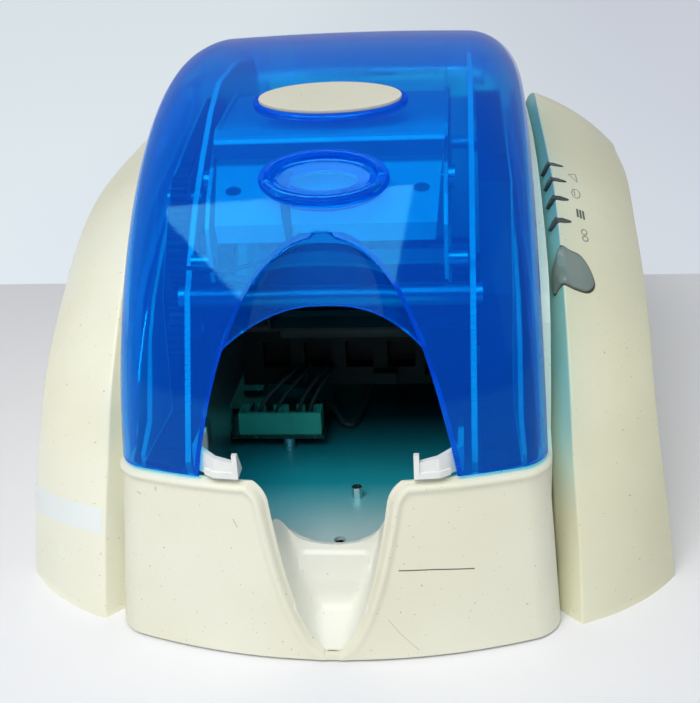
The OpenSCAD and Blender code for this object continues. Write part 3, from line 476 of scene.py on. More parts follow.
def scoop_back(z):
    """Depth of the scoop's middle line."""
    return mix(-24, -8, (z - NOTCH_FOOT) / 7.2) if z < 10 else mix(-8, 0, min(1, (z - 10) / 24) ** 0.5)


def patch_out(x, z):
    """How far the rounded patch for the finger stands out of the scoop; it fades away below."""
    side, top = abs(x) - PATCH_HALF, z - PATCH_TOP
    beyond = math.hypot(max(side, 0), max(top, 0)) + min(max(side, top), 0)
    return PATCH_RISE * smooth(clamped((3.2 - beyond) / 1.5)) * smooth(clamped((z - 12) / 9))


def scoop_grids():
    """Outer and inner grid of the scoop; its top edge curls up at both sides, more than the solid's."""
    rows = []
    for k in np.linspace(0, 1, 110):
        row = []
        for q in np.sin(np.linspace(-90, 90, 121) * math.pi / 180):
            z = mix(SCOOP_FOOT, SCOOP_TOP + 3.4 * q * q + 6.7 * q ** 8 + 6.6 * q ** 22, k)
            wide = max(notch(min(z, NOTCH_RISE)), 2) - 0.4
            front = shell_front(z, wide) + 2.2
            rise = min(1, z / 34)
            bowl = max(0, 1 - abs(q) ** (3 + 27 * rise * rise)) ** (0.6 - 0.1 * rise)
            depth = mix(front, max(scoop_back(z), front + 0.2), bowl)
            row.append([wide * q, depth - patch_out(wide * q, z), z])
        rows.append(row)
    outer = np.array(rows)
    return outer, outer - SCOOP_WALL * grid_normals(outer), every_cell(outer)


# The side panels; place t counts the points of these two edges of the sloping face, from the foot up and back
PANEL_INNER = np.array([
    [88.9, 0, 0], [88.6, 4, 12], [88, 8.5, 27.7], [86.9, 13, 43.3], [85.8, 19.5, 59.8], [85.2, 28.5, 77.8],
    [84.9, 39, 90.8], [84.6, 49, 102.5], [84, 60, 115], [83.5, 72, 126], [83, 100, 138], [82.4, 130, 144],
    [82, 174, 149], [82, 203, 151.2], [82, 230, 151.5], [82, 290, 138], [82, PANEL_BACK, 115]], float)
PANEL_OUTER = np.array([
    [126.7, 32.4, 0], [125.3, 33.9, 13.8], [123.4, 35.1, 27.8], [121.1, 37.3, 43.8], [119.5, 40.4, 56.7],
    [118.3, 46.2, 70.2], [118.1, 55.6, 80.8], [118.5, 70.5, 90.5], [118.7, 84, 98], [118.5, 101, 108.4],
    [118.3, 121.6, 117.7], [119.5, 146, 122.4], [120.6, 174, 125], [119.9, 203, 127.3], [120.8, 230, 125],
    [118, 290, 112], [114, PANEL_BACK, 92]], float)
LAST = len(PANEL_INNER) - 1
FACE_BOW = 12
FOOT_FLARE = 8.2


def panel_bow(z):
    """Share of the flare that the outside has at a height."""
    return max(0, 1 - z / 66) ** 1.15


def edge_run(t):
    """Direction in depth and height of the inner edge."""
    d = through(PANEL_INNER, min(t + 0.2, LAST)) - through(PANEL_INNER, max(t - 0.2, 0))
    return unit(d[1:])


def off_edge(across, t):
    """Direction square to the inner edge and to a line that leaves it."""
    run = edge_run(t)
    return unit(np.cross(across, [0, run[0], run[1]]))


def face_point(t, q):
    """A point of the sloping face, q of the way from its inner to its outer edge."""
    a, b = through(PANEL_INNER, t), through(PANEL_OUTER, t)
    return mix(a, b, q) + off_edge(b - a, t) * FACE_BOW * q * (1 - q)


def face_out(t, q):
    """Direction out of the sloping face."""
    across = face_point(t, q + 0.02) - face_point(t, q - 0.02)
    return unit(np.cross(across, face_point(t + 0.05, q) - face_point(t - 0.05, q)))


def edge_back(t):
    """Back edge of the inner return, behind the inner edge."""
    a, run = through(PANEL_INNER, t), edge_run(t)
    lean = min(a[2] / SEAM, 1)
    deep = 9 + 2 * lean
    return np.array([81.8 - 3.6 * lean, min(a[1] + deep * run[1], PANEL_BACK), max(0, a[2] - deep * run[0])])


def panel_row(t):
    """A section of the panel: up the inner return, across the face and down the outside."""
    a, b = through(PANEL_INNER, t), through(PANEL_OUTER, t)
    out = off_edge(b - a, t)
    back = edge_back(t)
    foot = t < 0.01
    swell = 0.25 * sin_d(180 * max(0, b[1] - 32) / (PANEL_BACK - 32))
    line = [np.array([back[0], back[1], back[2] * q]) for q in (0, 0.3, 0.6)] + [back, a]
    for q in np.linspace(0.06, 0.94, 16):
        p = mix(a, b, q) + out * FACE_BOW * q * (1 - q) * (1.2 if foot else 1)
        line.append(np.array([p[0], min(p[1], PANEL_BACK), 0 if foot else p[2]]))
    line.append(b)
    for q in np.linspace(0.94, 0, 16):
        z = b[2] * q
        flare = FOOT_FLARE * (panel_bow(z) - panel_bow(b[2]))
        line.append(np.array([b[0] + flare + swell * (1 - q), b[1], z]))
    return rounded(np.array(line), [3, 4, 21], [1.6, 0.9, 1.6])


def panel_grids():
    """Outer and inner grid of the right panel, with close rows at its front; foot and back end stay flat."""
    places = np.concatenate([np.linspace(0, 12, 121), np.linspace(12.1, LAST, 28)])
    outer = np.array([panel_row(t) for t in places])
    inner = outer - PANEL_WALL * grid_normals(outer)
    inner[..., 1] = np.minimum(inner[..., 1], np.where(outer[..., 1] > PANEL_BACK - 0.1, PANEL_BACK, 999))
    inner[..., 2] = np.where(outer[..., 2] == 0, 0, np.maximum(0.4, inner[..., 2]))
    return outer, inner, every_cell(outer)


# Finishes
def srgb(r, g, b):
    """A picture colour, each part from 0 to 255, as the linear colour of a shader."""
    def linear(c):
        c /= 255
        return c / 12.92 if c <= 0.04045 else ((c + 0.055) / 1.055) ** 2.4
    return (linear(r), linear(g), linear(b), 1)


class Finish:
    """A material under construction: a principled shader and short ways to add noise, masks and bump."""

    def __init__(self, name, color, rough, metallic=0.0):
        self.mat = bpy.data.materials.new(name)
        self.mat.use_nodes = True
        self.nodes = self.mat.node_tree.nodes
        self.links = self.mat.node_tree.links
        self.shader = self.nodes["Principled BSDF"]
        self.set("Base Color", color)
        self.set("Roughness", rough)
        self.set("Metallic", metallic)
        self.place = self.nodes.new("ShaderNodeTexCoord").outputs["Object"]

    def put(self, value, socket):
        """Gives a socket a constant or a link."""
        if isinstance(value, bpy.types.NodeSocket):
            self.links.new(value, socket)
        else:
            socket.default_value = value

    def set(self, socket, value):
        self.put(value, self.shader.inputs[socket])

    def add(self, kind, values):
        """A new node with values for its sockets."""
        node = self.nodes.new(kind)
        for socket, value in values.items():
            self.put(value, node.inputs[socket])
        return node

    def noise(self, scale, detail=4, rough=0.55, stretch=None):
        place = self.place
        if stretch:
            place = self.add("ShaderNodeMapping", {"Scale": stretch, "Vector": place}).outputs["Vector"]
        return self.add("ShaderNodeTexNoise", {"Scale": scale, "Detail": detail, "Roughness": rough,
                                               "Vector": place}).outputs["Fac"]

    def ramp(self, value, *stops):
        """Greys at places along a value, each stop as (place, grey)."""
        r = self.add("ShaderNodeValToRGB", {"Fac": value})
        marks = r.color_ramp.elements
        marks[0].position = stops[0][0]
        marks[1].position = stops[-1][0]
        for at, grey in stops[1:-1]:
            marks.new(at)
        for mark, (at, grey) in zip(marks, stops):
            mark.color = (grey, grey, grey, 1)
        return r.outputs["Color"]

    def axis(self, source, letter):
        """One coordinate of a vector."""
        return self.add("ShaderNodeSeparateXYZ", {"Vector": source}).outputs[letter]

    def span(self, value, start, end):
        """Share of the way that a value has gone from start to end."""
        run = self.add("ShaderNodeMapRange", {"From Min": start, "From Max": end, "Value": value})
        return run.outputs["Result"]

    def calc(self, operation, *values):
        m = self.nodes.new("ShaderNodeMath")
        m.operation = operation
        for socket, value in zip(m.inputs, values):
            self.put(value, socket)
        return m.outputs[0]

    def blend(self, mask, a, b):
        m = self.nodes.new("ShaderNodeMix")
        m.data_type = "RGBA"
        for socket, value in ((m.inputs[0], mask), (m.inputs[6], a), (m.inputs[7], b)):
            self.put(value, socket)
        return m.outputs[2]

    def tint(self, mask, color):
        """Turns the base colour into another one where the mask is 1."""
        now = self.shader.inputs["Base Color"].links[0].from_socket
        self.set("Base Color", self.blend(mask, now, color))

    def bump(self, height, strength, distance):
        """Adds a bump to those already there."""
        b = self.add("ShaderNodeBump", {"Strength": strength, "Distance": distance, "Height": height})
        old = self.shader.inputs["Normal"].links
        if old:
            self.put(old[0].from_socket, b.inputs["Normal"])
        self.set("Normal", b.outputs["Normal"])


def cream_plastic(name="cream_plastic", warm=0.5, base=(237, 238, 221), aged=(228, 224, 196)):
    """Cream plastic with age in soft patches, fine dust and a grained skin."""
    f = Finish(name, srgb(*base), 0.42)
    age = f.ramp(f.noise(9, 5), (0.45 - 0.1 * warm, 0.0), (0.78, 1.0))
    dust = f.ramp(f.noise(950, 2, 0.4), (0.735, 0.0), (0.76, 1.0))
    f.set("Base Color", f.blend(dust, f.blend(age, srgb(*base), srgb(*aged)), srgb(176, 166, 138)))
    f.set("Roughness", f.ramp(f.noise(60, 3), (0.3, 0.36), (0.7, 0.5)))
    f.bump(f.noise(1900, 3), 0.12, 0.00006)
    f.bump(f.noise(14, 2), 0.05, 0.0006)
    return f


def pale_plastic(name="pale_plastic"):
    f = Finish(name, srgb(214, 222, 222), 0.5)
    worn = f.ramp(f.noise(25), (0.4, 0.0), (0.75, 1.0))
    f.set("Base Color", f.blend(worn, srgb(216, 224, 224), srgb(190, 198, 190)))
    f.set("Roughness", f.ramp(f.noise(80), (0.3, 0.42), (0.7, 0.58)))
    f.bump(f.noise(1500, 3), 0.1, 0.00006)
    return f


def clear_blue():
    """Clear blue plastic with a little blue haze and a light blue shadow."""
    f = Finish("clear_blue_plastic", (0.001, 0.53, 0.88, 1), 0.05)
    f.set("Transmission Weight", 1.0)
    f.set("IOR", 1.45)
    f.set("Specular Tint", (0.14, 0.80, 1.0, 1))
    f.set("Roughness", f.ramp(f.noise(45), (0.35, 0.03), (0.7, 0.08)))
    f.bump(f.noise(26, 2), 0.03, 0.0006)
    haze = f.add("ShaderNodeBsdfDiffuse", {"Color": (0.0, 0.12, 0.95, 1)}).outputs["BSDF"]
    shade = f.add("ShaderNodeBsdfTransparent", {"Color": (0.03, 0.78, 0.85, 1)}).outputs["BSDF"]
    in_shadow = f.nodes.new("ShaderNodeLightPath").outputs["Is Shadow Ray"]
    body = f.add("ShaderNodeMixShader", {"Fac": 0.20, 1: f.shader.outputs["BSDF"], 2: haze}).outputs["Shader"]
    both = f.add("ShaderNodeMixShader", {"Fac": in_shadow, 1: body, 2: shade}).outputs["Shader"]
    f.put(both, f.nodes["Material Output"].inputs["Surface"])
    return f


def metal(name, color, stain, rough, spread, grain=None, metallic=1.0):
    """Sheet metal with stains; grain stretches its marks along one way."""
    f = Finish(name, color, rough, metallic)
    f.set("Base Color", f.blend(f.ramp(f.noise(30, 6), (0.4, 0.0), (0.72, 1.0)), color, stain))
    f.set("Roughness", f.ramp(f.noise(120, 4, 0.6, grain), (0.3, rough - spread), (0.7, rough + spread)))
    f.bump(f.noise(420, 3, 0.5, grain), 0.06, 0.0001)
    return f


def plain(name, color, rough, worn, grain=900, coat=0.0):
    """One colour with worn patches and a grained skin."""
    f = Finish(name, color, rough)
    f.set("Base Color", f.blend(f.ramp(f.noise(35, 5), (0.42, 0.0), (0.75, 1.0)), color, worn))
    f.set("Roughness", f.ramp(f.noise(70), (0.3, rough - 0.07), (0.7, rough + 0.07)))
    f.bump(f.noise(grain, 3), 0.12, 0.00008)
    f.set("Coat Weight", coat)
    return f


def board_lacquer():
    """Dark green lacquer over faint tracks, with solder dots."""
    f = Finish("board_lacquer", srgb(5, 24, 18), 0.3)
    tracks = f.add("ShaderNodeTexBrick", {
        "Scale": 180, "Mortar Size": 0.03, "Color1": srgb(4, 22, 17), "Color2": srgb(6, 28, 21),
        "Mortar": srgb(16, 46, 32), "Vector": f.place})
    dots = f.ramp(f.noise(600, 1, 0.3), (0.66, 0.0), (0.68, 1.0))
    f.set("Base Color", f.blend(dots, tracks.outputs["Color"], srgb(70, 78, 68)))
    f.bump(tracks.outputs["Fac"], 0.2, 0.00005)
    f.set("Coat Weight", 0.5)
    return f


def darker(color):
    return tuple(c * 0.72 for c in color[:3]) + (1,)


BRUSHED = (1, 30, 30)
BRIGHT = (0.74, 0.75, 0.76, 1)
BAR = (0.30, 0.31, 0.33, 1)

cream = cream_plastic()
cream_shell = cream_plastic("front_shell_plastic", 0.9, (232, 232, 214), (220, 217, 192))
cream_scoop = cream_plastic("scoop_plastic", 0.5, (233, 234, 224), (221, 222, 208))
cream_right = cream_plastic("right_panel_plastic", 0.8, (226, 226, 201), (214, 211, 178))
badge_ivory = cream_plastic("badge_ivory", 0.4, (204, 204, 190), (188, 185, 164))
blue = clear_blue()
bar_steel = metal("bar_steel", BAR, darker(BAR), 0.3, 0.05, BRUSHED)
socket_nylon = plain("socket_nylon", srgb(62, 160, 142), 0.45, srgb(44, 138, 122))
smoke = plain("smoke_lens", srgb(58, 62, 62), 0.28, srgb(80, 86, 84), coat=0.4)
gap_dark = plain("gap_shadow", srgb(72, 72, 62), 0.6, srgb(96, 94, 80))
mark_grey = plain("mark_ink", srgb(140, 146, 134), 0.5, srgb(158, 164, 150))
mark_dark = plain("mark_ink_dark", srgb(92, 98, 88), 0.5, srgb(112, 118, 106))
mark_scratch = plain("scratch_grey", srgb(186, 184, 164), 0.6, srgb(206, 204, 184))
trace_white = plain("tape_trace", srgb(232, 238, 238), 0.4, srgb(226, 232, 230))
# Partly painted shade: the black of the engine's parts and the card guides is made darker than their plastic,
# with weak reflections, standing in for the deep shade inside the printer
engine_black_painted_shade = plain("engine_black_painted_shade", (0.005, 0.0055, 0.006, 1), 0.55, (0.010, 0.011, 0.012, 1))
engine_black_painted_shade.set("Specular IOR Level", 0.2)

# Painted light: the inner return of the right panel is painted teal where light through the lid falls on it,
# more so with height
RETURN_TURN = -0.35, -0.75
RETURN_HEIGHT = 0.035, 0.085
surface = cream_right.nodes.new("ShaderNodeNewGeometry").outputs
inwards = cream_right.span(cream_right.axis(surface["Normal"], "X"), *RETURN_TURN)
high = cream_right.span(cream_right.axis(surface["Position"], "Z"), *RETURN_HEIGHT)
cream_right.tint(cream_right.calc("MULTIPLY", inwards, high), (0.27, 0.56, 0.58, 1))

# Painted highlight: the cut edges of the chassis plates, told by their normals, are painted near white and
# not metallic, standing in for the light they catch; the faces stay dull metal
zinc_plate = metal("chassis_zinc", (0.34, 0.38, 0.40, 1), (0.26, 0.32, 0.33, 1), 0.36, 0.06)
surface = zinc_plate.nodes.new("ShaderNodeNewGeometry").outputs
cut = zinc_plate.calc("LESS_THAN", zinc_plate.calc("ABSOLUTE", zinc_plate.axis(surface["Normal"], "X")), 0.5)
zinc_plate.tint(cut, (0.95, 0.97, 0.98, 1))
zinc_plate.set("Metallic", zinc_plate.calc("SUBTRACT", 1.0, cut))

# Painted shade: the liners are painted near black on their inner parts, which lie in shade, and stay pale
# towards the sides
LINER_FACE = 0.0662
liner = pale_plastic("liner_plastic")
painted_shade_side = liner.calc("LESS_THAN", liner.calc("ABSOLUTE", liner.axis(liner.place, "X")), LINER_FACE)
liner.tint(painted_shade_side, (0.03, 0.035, 0.04, 1))

# Painted light and shade: further in, the deck is painted the teal of light through the lid, and at the back
# it is painted dark with shade
DECK_PAINTED_LID_LIGHT = -0.150, -0.108
DECK_PAINTED_SHADE = -0.100, -0.045
deck = metal("deck_zinc", (0.58, 0.78, 0.77, 1), (0.50, 0.70, 0.70, 1), 0.42, 0.08, metallic=0.3)
depth = deck.axis(deck.place, "Y")
deck.tint(deck.span(depth, *DECK_PAINTED_LID_LIGHT), (0.02, 0.45, 0.52, 1))
deck.tint(deck.span(depth, *DECK_PAINTED_SHADE), (0.004, 0.03, 0.04, 1))

# Painted shade: the carrier is painted dark in a band where its plates step back, which lies in shade, and
# partly dark over its top plate; its lower front plate keeps the bright metal
CARRIER_LEVELS = 0.100, 0.200
carrier = metal("carrier_zinc", (0.52, 0.80, 0.76, 1), (0.44, 0.70, 0.68, 1), 0.38, 0.08, metallic=0.35)
level = carrier.span(carrier.axis(carrier.place, "Z"), *CARRIER_LEVELS)
painted_shade = carrier.ramp(level, (0.0, 0.0), (0.610, 0.0), (0.618, 0.86), (0.680, 0.86), (0.688, 0.0), (0.712, 0.0),
                    (0.73, 0.5), (1.0, 0.5))
carrier.tint(painted_shade, (0.07, 0.12, 0.14, 1))

# Painted shade: the rails are white in the opening and painted near black where they run back under the lid,
# into shade
RAIL_PAINTED_SHADE = -0.1535, -0.1505
rail = plain("rail_plastic", srgb(232, 234, 232), 0.38, srgb(206, 210, 204))
rail.tint(rail.span(rail.axis(rail.place, "Y"), *RAIL_PAINTED_SHADE), (0.02, 0.025, 0.03, 1))

slot_finish = {
    "cream": cream,
    "pale": pale_plastic(),
    "clear_blue": blue,
    "sheet_steel": metal("zinc_sheet", (0.40, 0.62, 0.63, 1), (0.32, 0.52, 0.53, 1), 0.42, 0.08,
                         metallic=0.3),
    "steel": metal("bright_steel", BRIGHT, darker(BRIGHT), 0.27, 0.07, BRUSHED),
    "dark": plain("black_plastic", (0.016, 0.017, 0.02, 1), 0.42, (0.035, 0.036, 0.04, 1)),
    "rubber": plain("rubber", (0.018, 0.018, 0.02, 1), 0.75, (0.04, 0.04, 0.042, 1), 2200),
    "white": plain("white_plastic", srgb(232, 232, 224), 0.38, srgb(206, 206, 190)),
    "board": board_lacquer(),
    "button_grey": plain("button_plastic", srgb(110, 126, 120), 0.36, srgb(134, 146, 140)),
}
# Pieces whose finish differs from the rest of their slot
own_finish = {
    "head_carrier": carrier,
    "floor_deck": deck,
    "panel_lights": smoke,
    "front_bar": bar_steel,
    "board_sockets": socket_nylon,
}
own_finish.update(dict.fromkeys(["left_card_rail", "right_card_rail"], rail))
own_finish.update(dict.fromkeys(["left_bay_liner", "right_bay_liner"], liner))
own_finish.update(dict.fromkeys(["left_chassis_plate", "right_chassis_plate"], zinc_plate))
own_finish.update(dict.fromkeys(["engine_block", "thermal_head", "ribbon_motor", "drive_motor",
                                 "front_card_guide", "rear_card_guide"], engine_black_painted_shade))
slots = {s["node"]: s["material_slot"] for s in frame["record"]["subparts"]}
SOFT_EDGE = 0.00025
for name, obj in frame["nodes"].items():
    mesh = obj.data
    mesh.materials.clear()
    mesh.materials.append(own_finish.get(name, slot_finish[slots[name]]).mat)
    mesh.shade_smooth()
    mesh.set_sharp_from_angle(angle=math.radians(32))
    edge = obj.modifiers.new("soft_edges", "BEVEL")
    edge.width = SOFT_EDGE
    edge.segments = 2
    edge.limit_method = "ANGLE"
    edge.angle_limit = math.radians(38)
    edge.harden_normals = False

# Finer shells; each ring of an oval is its half length, its half width, its height and perhaps its lean
COLLAR_DEPTH = 27
BADGE_DEPTH = 59
COLLAR_HOLE = 20.4, 9.6
INNER_RINGS = 0.9, 0.75, 0.55, 0.3, 0.08
DOME_RINGS = 0.85, 0.65, 0.45, 0.25, 0.08

lid = make("lid_shell", *shell_mesh(*lid_grids()), "lid", blue, 40, "clear_blue", ["lid"])
collar_frame = lid_frame(COLLAR_DEPTH)
cutter = oval_solid("cutter", collar_frame, [(*COLLAR_HOLE, -14), (*COLLAR_HOLE, 14)], "lid", blue)
hole = lid.modifiers.new("collar_hole", "BOOLEAN")
hole.object = cutter
hole.operation = "DIFFERENCE"
hole.solver = "EXACT"
bpy.context.view_layer.update()
cut_lid = bpy.data.meshes.new_from_object(lid.evaluated_get(bpy.context.evaluated_depsgraph_get()))
lid.modifiers.clear()
lid.data = cut_lid
bpy.data.objects.remove(cutter)

collar_rings = [(18.6, 8.4, -1.6), (18.6, 8.4, 2.3), (18.8, 8.6, 2.8), (19.4, 9.0, 3.15), (*COLLAR_HOLE, 3.2),
                (21.4, 10.2, 2.9), (22.2, 10.7, 2.1), (22.6, 10.9, 1.0), (22.6, 10.9, -1.6)]
oval_solid("lid_collar", collar_frame, collar_rings, "lid", blue, "clear_blue", closed=False)

badge_frame = lid_frame(BADGE_DEPTH)
badge_rim = [(26.1, 9.0, 0.15), (27.5, 10.25, 0.18), (27.8, 10.5, 0.08), (27.98, 10.68, -0.15),
             (28.0, 10.7, -0.6), (28.0, 10.7, -3.4), (26.1, 9.0, -3.4)]
oval_solid("lid_badge_rim", badge_frame, badge_rim, "lid", blue, "clear_blue", closed=False)
dome = [(25.9, 8.8, 0.2), (25.9, 8.8, 1.1), (25.75, 8.65, 1.35), (25.3, 8.25, 1.45)]
dome += [(25.3 * q, 8.25 * q, 1.45 + 0.2 * (1 - q * q)) for q in DOME_RINGS]
oval_solid("badge_plate", badge_frame, dome, "lid", badge_ivory, "cream", ["lid_badge"])

dish = [(20.4, 10.0, -6.0), (20.4, 10.0, -4.9), (12, 4, -4.8), (12, 4, -2), (18.2, 7.8, -2), (18.2, 7.8, 0.9),
        (17.9, 7.5, 1.35), (17.2, 6.9, 1.45), (16.5, 6.3, 1.0, 0.03), (16.0, 5.9, 0.55, 0.065)]
dish += [(16.0 * q, 5.9 * q, 0.55, 0.065) for q in INNER_RINGS]
oval_solid("release_pad_dish", collar_frame, dish, "release_pad", blue, "clear_blue", ["release_pad"])

make("front_shell_fine", *shell_mesh(*front_shell_grids()), "case", cream_shell, 40, "cream", ["front_shell"])
make("finger_scoop_fine", *shell_mesh(*scoop_grids()), "case", cream_scoop, 40, "cream", ["finger_scoop"])
points, faces = shell_mesh(*panel_grids())
make("right_panel_fine", points, faces, "case", cream_right, 50, "cream", ["right_side_panel"])
make("left_panel_fine", points * OTHER_SIDE, [f[::-1] for f in faces], "case", cream, 50, "cream",
     ["left_side_panel"])


# Button, marks and scratches
def on_wing(t, e, side=1):
    """A point of the sloping face e millimetres from its inner edge, and the direction out of the face."""
    q = e / np.linalg.norm(through(PANEL_OUTER, t) - through(PANEL_INNER, t))
    return face_point(t, q) * [side, 1, 1], face_out(t, max(q, 0.03)) * [side, 1, 1]


def wrapped(t, e, lift):
    """A point lifted off the sloping face; a negative e runs back behind its inner edge."""
    if e >= 0:
        point, out = on_wing(t, e)
        return point + out * lift
    a = through(PANEL_INNER, t)
    along = unit(edge_back(t) - a)
    out = off_edge(along, t)
    if out[0] > 0:
        out = -out
    return a + along * -e + out * lift


def wrapped_disc(name, outline, centre, rings, body, finish, slot, replaces=()):
    """Domed closed plate over an outline of (t, e), in rings of (scale, lift) that start at the underside."""
    line = []
    for i in range(len(outline)):
        before, a, b, after = (np.array(outline[(i + k) % len(outline)]) for k in (-1, 0, 1, 2))
        line += [eased_run(before, a, b, after, k / 6) for k in range(6)]
    centre = np.array(centre)
    points = [wrapped(*(centre + (p - centre) * scale), lift) for scale, lift in rings for p in line]
    return make(name, np.array(points), stack_faces(len(rings), len(line)), body, finish, 40, slot, replaces)


TEARDROP = [(8.66, 0.0), (8.56, 3.6), (8.44, 8.2), (8.13, 11.4), (7.76, 12.6), (7.56, 9.6), (7.60, 4.6),
            (7.70, 0.2), (7.66, -2.6), (7.58, -5.8), (7.90, -6.6), (8.2, -5.4), (8.46, -2.6)]
TEARDROP_CENTRE = 8.02, 1.2
crown = [(1.0, -1.2), (1.0, 0.9), (0.97, 1.2), (0.9, 1.4), (0.75, 1.55), (0.55, 1.65), (0.35, 1.7),
         (0.15, 1.72)]
wrapped_disc("teardrop_button", TEARDROP, TEARDROP_CENTRE, crown, "control_button",
             slot_finish["button_grey"], "button_grey", ["control_button"])
gap = [(1.1, -0.5), (1.1, 0.12), (0.9, 0.12)]
wrapped_disc("button_gap", TEARDROP, TEARDROP_CENTRE, gap, "case", gap_dark, "cream")


def stroke(name, line, width, lift, finish, ring=False):
    """Thin closed band laid along points that carry their normals."""
    at = np.array([p for p, n in line])
    up = np.array([n for p, n in line])
    run = np.roll(at, -1, 0) - np.roll(at, 1, 0)
    if not ring:
        run[0], run[-1] = at[1] - at[0], at[-1] - at[-2]
    side = unit(np.cross(up, run)) * width / 2
    sunk = up * 0.15
    points = np.concatenate([at - side + up * lift, at + side + up * lift,
                             at + side - sunk, at - side - sunk])
    count = len(at)
    faces = []
    for i in range(count if ring else count - 1):
        j = (i + 1) % count
        for k in range(4):
            l = (k + 1) % 4
            faces.append((k * count + i, k * count + j, l * count + j, l * count + i))
    if not ring:
        faces += [(0, count, 2 * count, 3 * count), (4 * count - 1, 3 * count - 1, 2 * count - 1, count - 1)]
    return make(name, points, faces, "case", finish, 60)


def wing_oval(t, e, half_t, half_e, step):
    """Points of the right panel's face round an oval."""
    return [on_wing(t + half_t * cos_d(a), e + half_e * sin_d(a)) for a in range(0, 360, step)]


def on_front(x, z):
    """A point of the front shell's face and the direction out of it."""
    turn = 2 * x / SHELL_BOW if abs(x) < shell_half(z) - SHELL_ROUND else 0.2
    return shell_at(z, x, 0), unit([turn, -1, 0.13])


def polyline(corners, steps, ring=False):
    """Even steps along straight lines from corner to corner."""
    out = []
    for a, b in zip(corners, corners[1:] + (corners[:1] if ring else [])):
        out += [(mix(a[0], b[0], q), mix(a[1], b[1], q)) for q in np.linspace(0, 1, steps, endpoint=False)]
    return out if ring else out + [corners[-1]]


# Plain marks beside the lights; places are (t, e) on the right panel's face
INK_LIFT = 0.05
FINE_LINE = 0.45
TRIANGLE = [(10.39, 7.96), (10.44, 11.48), (10.19, 11.64)]
BARS = [[(9.544, 9.66), (9.384, 9.73)], [(9.534, 11.08), (9.365, 11.18)], [(9.524, 12.48), (9.349, 12.77)]]
LINKS = [(9.08, 12.02), (8.935, 12.22)]
triangle = [on_wing(*c) for c in polyline(TRIANGLE, 6, True)]
stroke("mark_triangle", triangle, FINE_LINE, INK_LIFT, mark_grey, ring=True)
stroke("mark_ring", wing_oval(9.874, 10.05, 0.10, 2.0, 12), FINE_LINE, INK_LIFT, mark_grey, ring=True)
ring_bar = [on_wing(t, 9.4) for t in np.linspace(9.82, 9.94, 5)]
stroke("mark_ring_bar", ring_bar, FINE_LINE, INK_LIFT, mark_grey)
for number, ends in enumerate(BARS, 1):
    stroke("mark_bar_%d" % number, [on_wing(*c) for c in polyline(ends, 6)], 0.95, INK_LIFT, mark_dark)
for number, (t, e) in enumerate(LINKS, 1):
    stroke("mark_link_%d" % number, wing_oval(t, e, 0.058, 1.35, 15), 0.55, INK_LIFT, mark_grey, ring=True)

# Scratches on the front shell: corners as (x, height), width and finish
SCRATCHES = [
    ([(24, 34), (36, 33.4), (50, 32)], 0.45, mark_dark),
    ([(20, 16), (24, 10.5), (30.5, 3.5)], 0.22, mark_scratch),
    ([(-61.5, 62.3), (-61.5, 58.5)], 0.5, mark_scratch),
    ([(-69, 57), (-67.5, 56.2)], 0.6, mark_scratch),
    ([(-65, 62.4), (-63.8, 62)], 0.7, mark_scratch),
    ([(-33, 52), (-31.5, 49)], 0.4, mark_scratch),
]
for number, (ends, width, finish) in enumerate(SCRATCHES, 1):
    stroke("scratch_%d" % number, [on_front(*c) for c in polyline(ends, 6)], width, 0.02, finish)

# Pale band where tape was once stuck across the left panel; it leans a little
band = [[on_wing(mix(2.56 + 0.24 * (1 - q), 1.95 + 0.25 * (1 - q), r), mix(1.4, 45, q), -1)
         for q in np.linspace(0, 1, 40)] for r in np.linspace(0, 1, 12)]
top = np.array([[p + n * 0.08 for p, n in row] for row in band])
under = np.array([[p - n * 0.2 for p, n in row] for row in band])
make("tape_trace", *shell_mesh(top, under, every_cell(top)), "case", trace_white, 60)

# Pin head on the front of the engine block: its place, then sideways, up and forwards
pin_frame = [np.array(a, float) for a in ([24.4, 112, 55.8], [1, 0, 0], [0, 0, 1], [0, -1, 0])]
pin_rings = [(2.1, 2.1, -1), (2.1, 2.1, 0.7), (1.8, 1.8, 1), (0.9, 0.9, 1.05), (0.7, 0.7, 0.6),
             (0.1, 0.1, 0.6)]
oval_solid("engine_pin", pin_frame, pin_rings, "case", slot_finish["white"], count=40)


# Table, light and camera
def stage_plane(name, corners, height, material):
    mesh = bpy.data.meshes.new(name)
    mesh.from_pydata([(x, y, height) for x, y in corners], [], [(0, 1, 2, 3)])
    mesh.materials.append(material)
    obj = new_object(name, mesh)
    return obj


# Beyond its end the table plane becomes a pale backdrop that glows a little, brighter to the left
TABLE_HALF = 4
TABLE_END = 0.236
BACKDROP_FADE = -0.35, 0.30
BACKDROP_GLOW = 0.68
table = Finish("table_top", srgb(236, 236, 243), 0.6)
beyond = table.calc("GREATER_THAN", table.axis(table.place, "Y"), TABLE_END)
table.set("Base Color", table.blend(beyond, srgb(236, 237, 241), srgb(140, 145, 152)))
across = table.span(table.axis(table.place, "X"), *BACKDROP_FADE)
table.set("Emission Color", table.blend(across, srgb(235, 246, 250), srgb(213, 218, 227)))
table.set("Emission Strength", table.calc("MULTIPLY", beyond, BACKDROP_GLOW))
table_corners = [(-TABLE_HALF, -TABLE_HALF), (TABLE_HALF, -TABLE_HALF), (TABLE_HALF, TABLE_HALF),
                 (-TABLE_HALF, TABLE_HALF)]
stage_plane("table", table_corners, 0, table.mat)

world = bpy.data.worlds.new("room")
bpy.context.scene.world = world
world.use_nodes = True
sky = world.node_tree.nodes["Background"]
sky.inputs["Color"].default_value = (0.90, 0.94, 1.0, 1)
sky.inputs["Strength"].default_value = 0.36

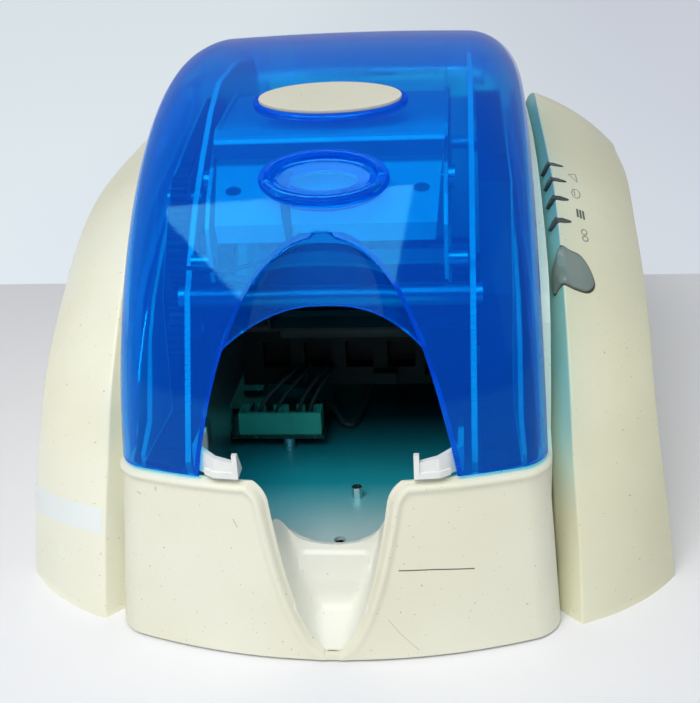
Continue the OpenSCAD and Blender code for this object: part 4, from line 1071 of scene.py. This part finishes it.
# A bright ceiling panel gives the highlights of the lid and stays out of the picture
CEILING_HEIGHT = 1.3
CEILING_CORNERS = [(-0.76, -0.49), (0.13, -0.352), (0.25, -1.71), (-0.81, -1.71)]
glow = bpy.data.materials.new("ceiling_light")
glow.use_nodes = True
glow.node_tree.nodes.remove(glow.node_tree.nodes["Principled BSDF"])
light = glow.node_tree.nodes.new("ShaderNodeEmission")
light.inputs["Color"].default_value = (1.0, 0.99, 0.96, 1)
light.inputs["Strength"].default_value = 6.3
glow.node_tree.links.new(light.outputs["Emission"], glow.node_tree.nodes["Material Output"].inputs["Surface"])
ceiling = stage_plane("ceiling_panel", CEILING_CORNERS, CEILING_HEIGHT, glow)
ceiling.visible_camera = False

FILL_AT = Vector((1.4, -1.0, 0.9))
FILL_TO = Vector((0, 0, 0.1))
fill = bpy.data.lights.new("fill", "AREA")
fill.shape = "RECTANGLE"
fill.size, fill.size_y = 1.4, 1.2
fill.energy = 1.7
fill.color = (0.96, 0.98, 1.0)
lamp = new_object("fill", fill)
lamp.location = FILL_AT
lamp.rotation_euler = (FILL_TO - FILL_AT).to_track_quat("-Z", "Y").to_euler()

# The photograph's camera; its focal length is in pixels of the photograph's height
CAMERA_AT = Vector((0.0482, -0.5319, 0.259))
SENSOR = 36
FOCAL_PIXELS = 1200
PHOTO_HEIGHT = 703
pitch, yaw, roll = math.radians(22), math.radians(6.0185), math.radians(-2.820)
look = Vector((-math.sin(yaw) * math.cos(pitch), math.cos(yaw) * math.cos(pitch), -math.sin(pitch)))
right = look.cross(Vector((0, 0, 1))).normalized()
up = right.cross(look)
right, up = right * math.cos(roll) + up * math.sin(roll), up * math.cos(roll) - right * math.sin(roll)
camera = new_object("camera", bpy.data.cameras.new("camera"))
turn = Matrix((right, up, -look)).transposed().to_4x4()
camera.matrix_world = Matrix.Translation(CAMERA_AT) @ turn
camera.data.sensor_width = SENSOR
camera.data.lens = FOCAL_PIXELS * SENSOR / PHOTO_HEIGHT
camera.data.clip_start = 0.01
bpy.context.scene.camera = camera
bpy.context.scene.view_settings.view_transform = "Standard"
